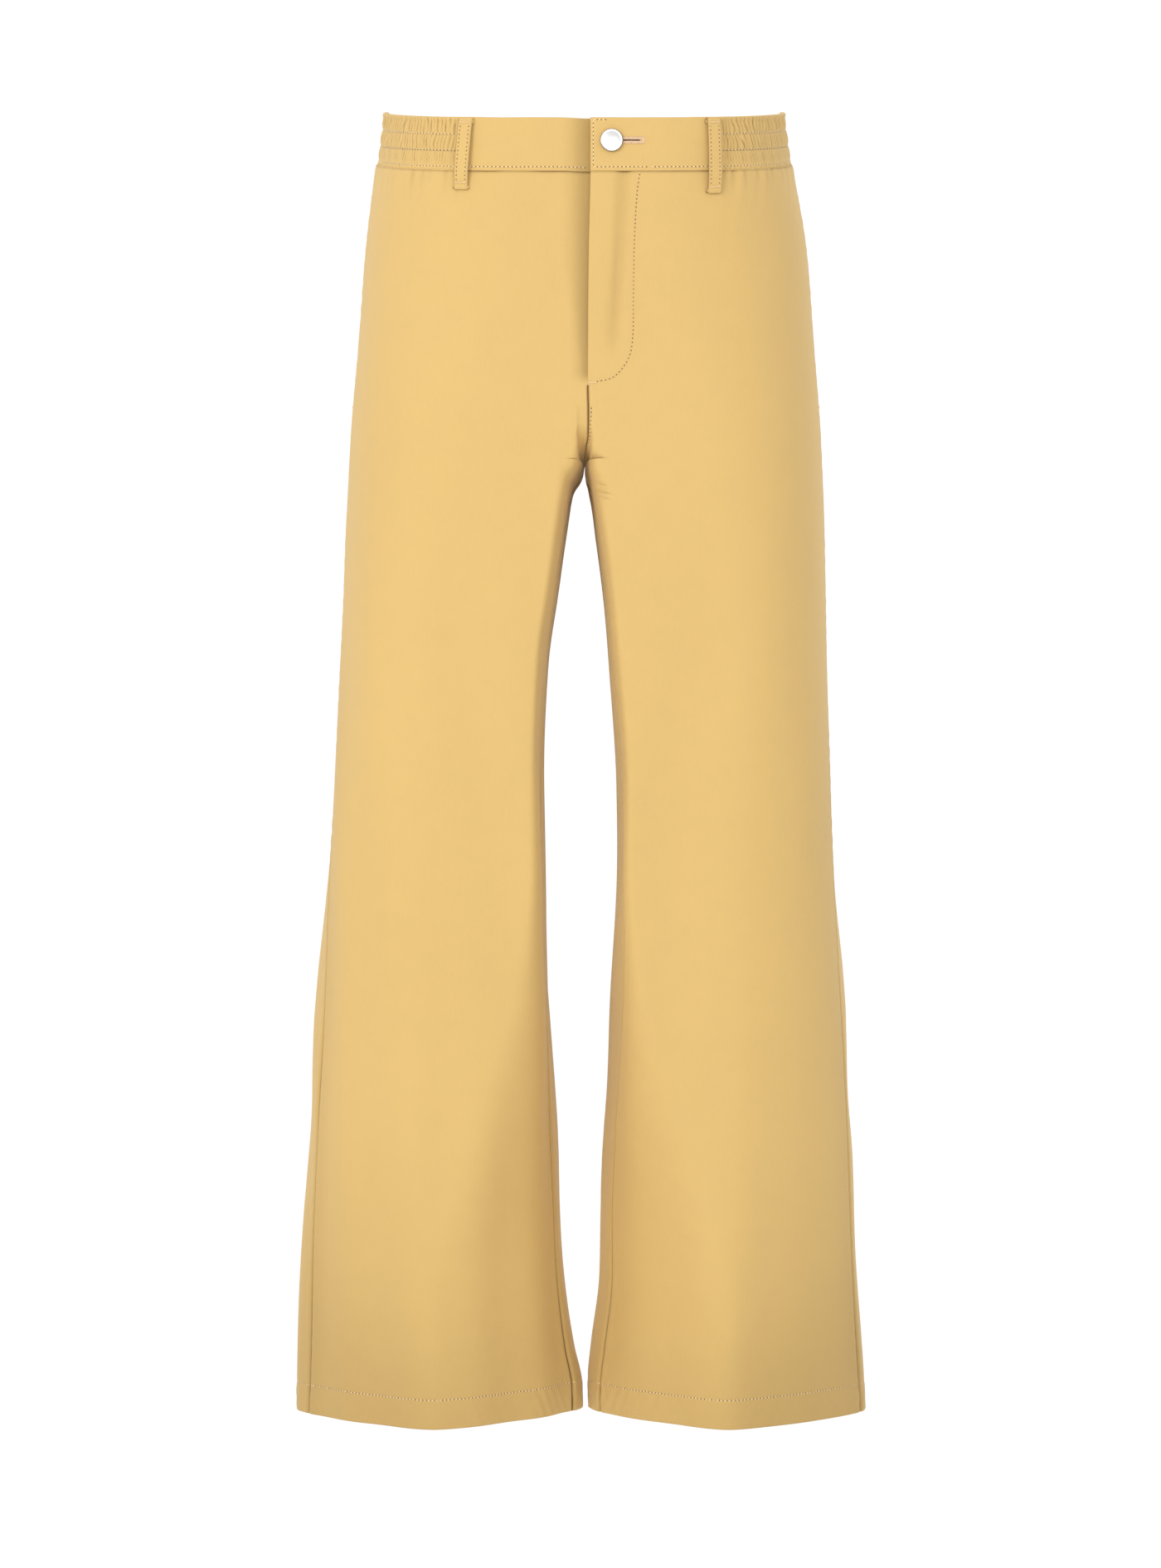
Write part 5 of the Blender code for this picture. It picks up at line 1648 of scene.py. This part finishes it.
def make_back_pocket(side, seat, looks):
    """A two-lipped welt pocket and the bag behind it."""
    arcs = WELT_FROM + series((0, 1.6, 0.4), (1.6, 128.4, 2), (128.4, 130, 0.4))
    upper = ((-88, -89.2, -0.3), (-89.2, -92.8, -0.9), (-92.8, -95.2, -0.3))
    levels = series(*upper, (-95.2, -98.8, -0.9), (-98.8, -100, -0.3))
    grid = back_patch(side, arcs, levels, welt_lips)
    node = f"back_welt_{side}"
    lay(f"{node}_cloth", grid, looks["twill"], "root", node, thick=0.7 * MM)
    stitches = []
    ring = ((-1.4, -86.6), (131.4, -86.6), (131.4, -101.4), (-1.4, -101.4), (-1.4, -86.6))
    for (a, b), (c, d) in zip(ring, ring[1:]):
        count = max(int(math.hypot(c - a, d - b) / 1.5), 2)
        line = [
            (WELT_FROM + (a + (c - a) * i / count) * MM, (b + (d - b) * i / count) * MM)
            for i in range(count + 1)
        ]
        stitches += stitches_along(seat, line)
    for end in (WELT_FROM + 1.2 * MM, WELT_TO - 1.2 * MM):
        stitches += bartack(grid, end, WELT_MIDDLE, 5 * MM, upright=True)
    sew(f"{node}_stitching", stitches, looks["thread"])
    levels = series((-82, -235, -4))
    bag = back_patch(side, series((34, 170, 4)), levels, lambda across, level: -3.6 * MM)
    node = f"back_pocket_bag_{side}"
    lay(f"{node}_cloth", bag, looks["lining"], "root", node, **LINING)


def make_seam_stitching(grids, looks):
    """Topstitching beside the crotch seam in front and along the seat seam behind."""
    levels = np.concatenate([np.arange(-241, -276, -1.2), [-277, -278, -279, -280]]) * MM
    length = BODY["left"].length("front", levels)
    line = length - FRONT_LINE(front_height(levels)) - SEAM_STITCH - OUTSEAM_AT["left"](levels)
    crotch = stitches_along(grids["front", "left"], list(zip(line, levels)))
    sew("crotch_stitching", crotch, looks["thread"])
    line = [(SEAM_STITCH, level) for level in np.arange(-41.5, -270, -1.5) * MM]
    sew("seat_stitching", stitches_along(grids["back", "left"], line), looks["thread"])


def make_allowances(looks):
    """The overlocked edges of the seams, pressed open inside the legs."""
    across = series((-9, 9, 1.5))[None, :]
    for side in SIGN:
        for seam, top, facing in (("outseam", 0, 1), ("inseam", -300, -1)):
            level = series((-46, -994, -6))[:, None]
            level = level[level[:, 0] < top * MM]
            length = BODY[side].length("front", level)
            start = OUTSEAM_AT[side](level) / length
            if seam == "inseam":
                start = 1 - INSEAM_AT[side](level) / length
            share = np.minimum(start + across / length, 1.99)
            outward = np.array([SIGN[side] * facing, 0, 0])
            curl = 0.5 * waves(level, 40, 12) * np.abs(across) / 9
            grid = Grid(on_body(side, level, share), stacked(across, level), outward)
            grid = grid.moved(-2.6 * MM + np.minimum(curl, 0.4 * MM))
            lay(f"{seam}_allowance_{side}", grid, looks["facing"], "root", thick=0.5 * MM)


# Materials


class Look:
    """A material's node tree, with a noise, a mix and so on at hand."""

    def __init__(self, name, roughness, metallic=0.0):
        self.material = bpy.data.materials.new(name)
        self.material.use_nodes = True
        self.tree = self.material.node_tree
        self.shader = self.tree.nodes["Principled BSDF"]
        self.feed(self.shader, {"Roughness": roughness, "Metallic": metallic})
        self.place = self.node("TexCoord")

    def feed(self, node, inputs):
        """Sets inputs of a node to values, or links them to the outputs of others."""
        for key, value in inputs.items():
            if isinstance(value, bpy.types.NodeSocket):
                self.tree.links.new(value, node.inputs[key])
            else:
                node.inputs[key].default_value = value

    def node(self, kind, inputs=None, **settings):
        made = self.tree.nodes.new("ShaderNode" + kind)
        for key, value in settings.items():
            setattr(made, key, value)
        self.feed(made, inputs or {})
        return made

    def noise(self, scale, detail=2.0, stretch=(1, 1, 1)):
        place = self.node("Mapping", {"Scale": stretch, "Vector": self.place.outputs["Object"]})
        inputs = {"Scale": scale, "Detail": detail, "Vector": place.outputs["Vector"]}
        return self.node("TexNoise", inputs).outputs["Fac"]

    def wave(self, pitch, angle):
        """Parallel ribs at a pitch in metres, turned by an angle from upright."""
        turn = (0, 0, math.radians(angle))
        place = self.node("Mapping", {"Rotation": turn, "Vector": self.place.outputs["UV"]})
        inputs = {"Scale": 2 * math.pi / (20 * pitch), "Vector": place.outputs["Vector"]}
        inputs.update({"Distortion": 0.4, "Detail": 1.0, "Detail Scale": 0.35})
        return self.node("TexWave", inputs, bands_direction="X").outputs["Fac"]

    def maths(self, operation, first, second):
        return self.node("Math", {0: first, 1: second}, operation=operation).outputs[0]

    def ranged(self, value, low, high, from_low=0.0, from_high=1.0):
        ends = {"From Min": from_low, "From Max": from_high, "To Min": low, "To Max": high}
        return self.node("MapRange", {**ends, "Value": value}).outputs["Result"]

    def mixed(self, share, *colours):
        """Two colours mixed, by the mix node's sockets for colours."""
        first, second = ((*c, 1) if isinstance(c, tuple) else c for c in colours)
        inputs = {"Factor": share, 6: first, 7: second}
        return self.node("Mix", inputs, data_type="RGBA").outputs[2]

    def bump(self, height, distance, strength=1.0, before=None):
        inputs = {"Distance": distance, "Strength": strength, "Height": height}
        if before is not None:
            inputs["Normal"] = before
        return self.node("Bump", inputs).outputs["Normal"]

    def finish(self, colour, **inputs):
        """The material, with the shader's inputs named as words joined by underscores."""
        self.feed(self.shader, {key.replace("_", " "): value for key, value in inputs.items()})
        self.feed(self.shader, {"Base Color": colour})
        return self.material


PAINTED_SHADE_SHARES = (0.26, 0.2, 0.14)  # how much of each colour is left where the painted shade is deepest
SHEEN_TINT = (1.0, 0.8, 0.5, 1)


def scaled(colour, factor):
    return tuple(min(part * factor, 1.0) for part in colour)


def cloth_look(name, colour, pitch, angle, depth, sheen=0.4, mottle=1.0, plain=False):
    """Woven cotton: ribs of the weave, slubs, a mottled dye, a soft sheen and the painted shade each sheet
    carries.
    """
    look = Look(name, 0.85)
    broad = look.noise(7, 2)
    patchy = look.noise(60, 3)
    slub = look.noise(700, 2, stretch=(1, 1, 0.25))
    fine = look.noise(1500, 2)
    broad = look.maths("MULTIPLY", broad, 0.45)
    share = look.maths("ADD", broad, look.maths("MULTIPLY", patchy, 0.55))
    pale, rich = scaled(colour, 1 + 0.025 * mottle), scaled(colour, 1 - 0.03 * mottle)
    dyed = look.mixed(look.ranged(share, 0, 1, 0.3, 0.7), rich, pale)
    threads = look.mixed(look.ranged(slub, 0, 0.5, 0.35, 0.75), dyed, scaled(colour, 1.04))
    ribs = look.wave(pitch, angle)
    if plain:
        ribs = look.maths("MULTIPLY", ribs, look.wave(pitch, angle + 90))
    woven = look.mixed(look.ranged(ribs, 0.16, 0), threads, scaled(colour, 0.72))
    # The cloth's colour is mixed towards a dark one by the shade painted on each sheet: in seams, creases,
    # recesses and gather valleys, and towards the hems and the legs' sides.
    crease_and_painted_shade = look.node("Attribute", attribute_name="crease_and_painted_shade").outputs["Fac"]
    deep = tuple(part * share for part, share in zip(colour, PAINTED_SHADE_SHARES))
    normal = look.bump(ribs, depth)
    normal = look.bump(slub, 0.00012, 0.5, normal)
    normal = look.bump(fine, 0.00006, 0.5, normal)
    return look.finish(
        look.mixed(crease_and_painted_shade, woven, deep),
        Normal=normal,
        Roughness=look.ranged(patchy, 0.78, 0.92),
        Sheen_Weight=sheen,
        Sheen_Roughness=0.45,
        Sheen_Tint=SHEEN_TINT,
        Specular_IOR_Level=0.25,
    )


def thread_look(name, colour):
    look = Look(name, 0.7)
    twist = look.noise(2600, 1, stretch=(1, 1, 0.5))
    worn = look.noise(140, 2)
    turning = look.ranged(twist, 0, 1, 0.35, 0.65)
    shaded = look.mixed(turning, scaled(colour, 0.86), scaled(colour, 1.08))
    return look.finish(
        look.mixed(look.ranged(worn, 0, 0.35), shaded, scaled(colour, 1.12)),
        Normal=look.bump(twist, 0.00008, 0.7),
        Roughness=look.ranged(worn, 0.6, 0.78),
        Sheen_Weight=0.15,
        Specular_IOR_Level=0.35,
    )


def metal_look(name, colour, low, high, tarnish):
    look = Look(name, 0.3, 1.0)
    brushed = look.noise(900, 3, stretch=(1, 1, 0.08))
    cloudy = look.noise(190, 3)
    return look.finish(
        look.mixed(look.ranged(cloudy, 0, 0.6, 0.4, 0.8), colour, tarnish),
        Normal=look.bump(brushed, 0.00002, 0.35),
        Roughness=look.ranged(cloudy, low, high),
    )


TWILL = (0.63, 0.419, 0.146)


def make_looks():
    # The needle holes are flat dark patches: painted shade where the thread goes into the cloth.
    hole = Look("needle_hole_painted_shade", 0.9)
    hole.finish(hole.mixed(hole.noise(300), (0.12, 0.065, 0.02), (0.2, 0.11, 0.035)))
    return {
        "twill": cloth_look("cotton_twill", TWILL, 0.62 * MM, 30, 0.00005),
        "facing": cloth_look(
            "cotton_twill_inside", scaled(TWILL, 0.97), 0.62 * MM, -30, 0.00004, mottle=1.3
        ),
        "lining": cloth_look("pocketing", (0.70, 0.56, 0.36), 0.5 * MM, 0, 0.00004, plain=True),
        "elastic": cloth_look("woven_elastic", (0.80, 0.77, 0.70), 0.9 * MM, 0, 0.0002, sheen=0.05),
        "tape": cloth_look("zip_tape", (0.60, 0.42, 0.19), 0.7 * MM, 45, 0.00012, sheen=0.05),
        "thread": thread_look("sewing_thread", (0.74, 0.52, 0.235)),
        "cream_thread": thread_look("band_thread", (0.9, 0.72, 0.43)),
        "hole_thread": thread_look("buttonhole_thread", (0.72, 0.50, 0.32)),
        "brass": metal_look("aged_brass", (0.63, 0.47, 0.22), 0.3, 0.5, (0.36, 0.25, 0.11)),
        "nickel": metal_look("nickel_plate", (0.72, 0.71, 0.69), 0.18, 0.34, (0.55, 0.54, 0.52)),
        "rim": metal_look("button_rim", (0.30, 0.26, 0.23), 0.3, 0.5, (0.2, 0.17, 0.15)),
        "button": metal_look("button_nickel", (0.74, 0.73, 0.72), 0.24, 0.3, (0.70, 0.69, 0.68)),
    }


# Floor, light and camera


FLOOR = -1.30
FLOOR_RADIUS = 0.68
SURROUND_RADIUS = 14
SURROUND_GLOW = 1.02
WORLD_LIGHT = 0.92
CAMERA_PLACE = (-0.003, -2.8, -0.528)
CAMERA_LENS = 81.7


def disc(name, radius, height, count=96):
    angles = 2 * math.pi * np.arange(count) / count
    points = [(radius * math.cos(a), radius * math.sin(a), height) for a in angles]
    return mesh_of(name, points, [tuple(range(count))])


def make_stage():
    """A round pale floor under the hanging trousers, inside a plain white surround."""
    look = Look("pale_floor", 0.9)
    faint = look.mixed(look.noise(2.0, 2), (0.86, 0.86, 0.86), (0.89, 0.89, 0.89))
    mesh = disc("floor", FLOOR_RADIUS, FLOOR)
    mesh.materials.append(look.finish(faint))
    linked("floor", mesh)
    make_surround()
    world = bpy.data.worlds.new("studio")
    world.use_nodes = True
    background = world.node_tree.nodes["Background"]
    background.inputs["Color"].default_value = (1, 1, 1, 1)
    background.inputs["Strength"].default_value = WORLD_LIGHT
    bpy.context.scene.world = world


def make_surround():
    """A white dome that is seen but gives the cloth no light of its own."""
    work = bmesh.new()
    bmesh.ops.create_uvsphere(work, u_segments=48, v_segments=24, radius=SURROUND_RADIUS)
    mesh = bpy.data.meshes.new("surround")
    work.to_mesh(mesh)
    work.free()
    made = bpy.data.materials.new("white_surround")
    made.use_nodes = True
    tree = made.node_tree
    tree.nodes.clear()
    glow = tree.nodes.new("ShaderNodeEmission")
    glow.inputs["Strength"].default_value = SURROUND_GLOW
    end = tree.nodes.new("ShaderNodeOutputMaterial")
    tree.links.new(glow.outputs["Emission"], end.inputs["Surface"])
    mesh.materials.append(made)
    surround = linked("surround", mesh)
    surround.visible_diffuse = False
    surround.visible_shadow = False
    surround.visible_transmission = False
    return surround


def area_light(name, place, target, size, power):
    light = bpy.data.lights.new(name, "AREA")
    light.shape = "RECTANGLE"
    light.size, light.size_y = size
    light.energy = power
    made = linked(name, light)
    made.location = place
    made.rotation_euler = (Vector(target) - Vector(place)).to_track_quat("-Z", "Y").to_euler()


def make_lights():
    middle = (0, 0, -0.5)
    area_light("key", (-1.3, -2.0, 0.35), middle, (1.0, 1.0), 20)
    area_light("front", (0.25, -2.9, -0.3), middle, (1.0, 1.4), 16)


def make_camera():
    camera = bpy.data.cameras.new("camera")
    camera.sensor_width = 36
    camera.lens = CAMERA_LENS
    made = linked("camera", camera)
    made.location = CAMERA_PLACE
    made.rotation_euler = (math.radians(90), 0, 0)
    bpy.context.scene.camera = made
    bpy.context.scene.view_settings.view_transform = "Standard"


def main():
    looks = make_looks()
    make_camera()
    make_lights()
    make_stage()
    grids = make_panels(looks)
    make_hems(grids, looks)
    bands = make_waistband(looks)
    make_elastics(looks)
    make_band_stitching(bands, looks)
    make_belt_loops(looks)
    make_fly(grids, looks)
    make_zip(looks)
    make_button(looks)
    make_buttonhole(bands["tab"], looks)
    make_pockets(grids, looks)
    make_seam_stitching(grids, looks)
    make_allowances(looks)


main()
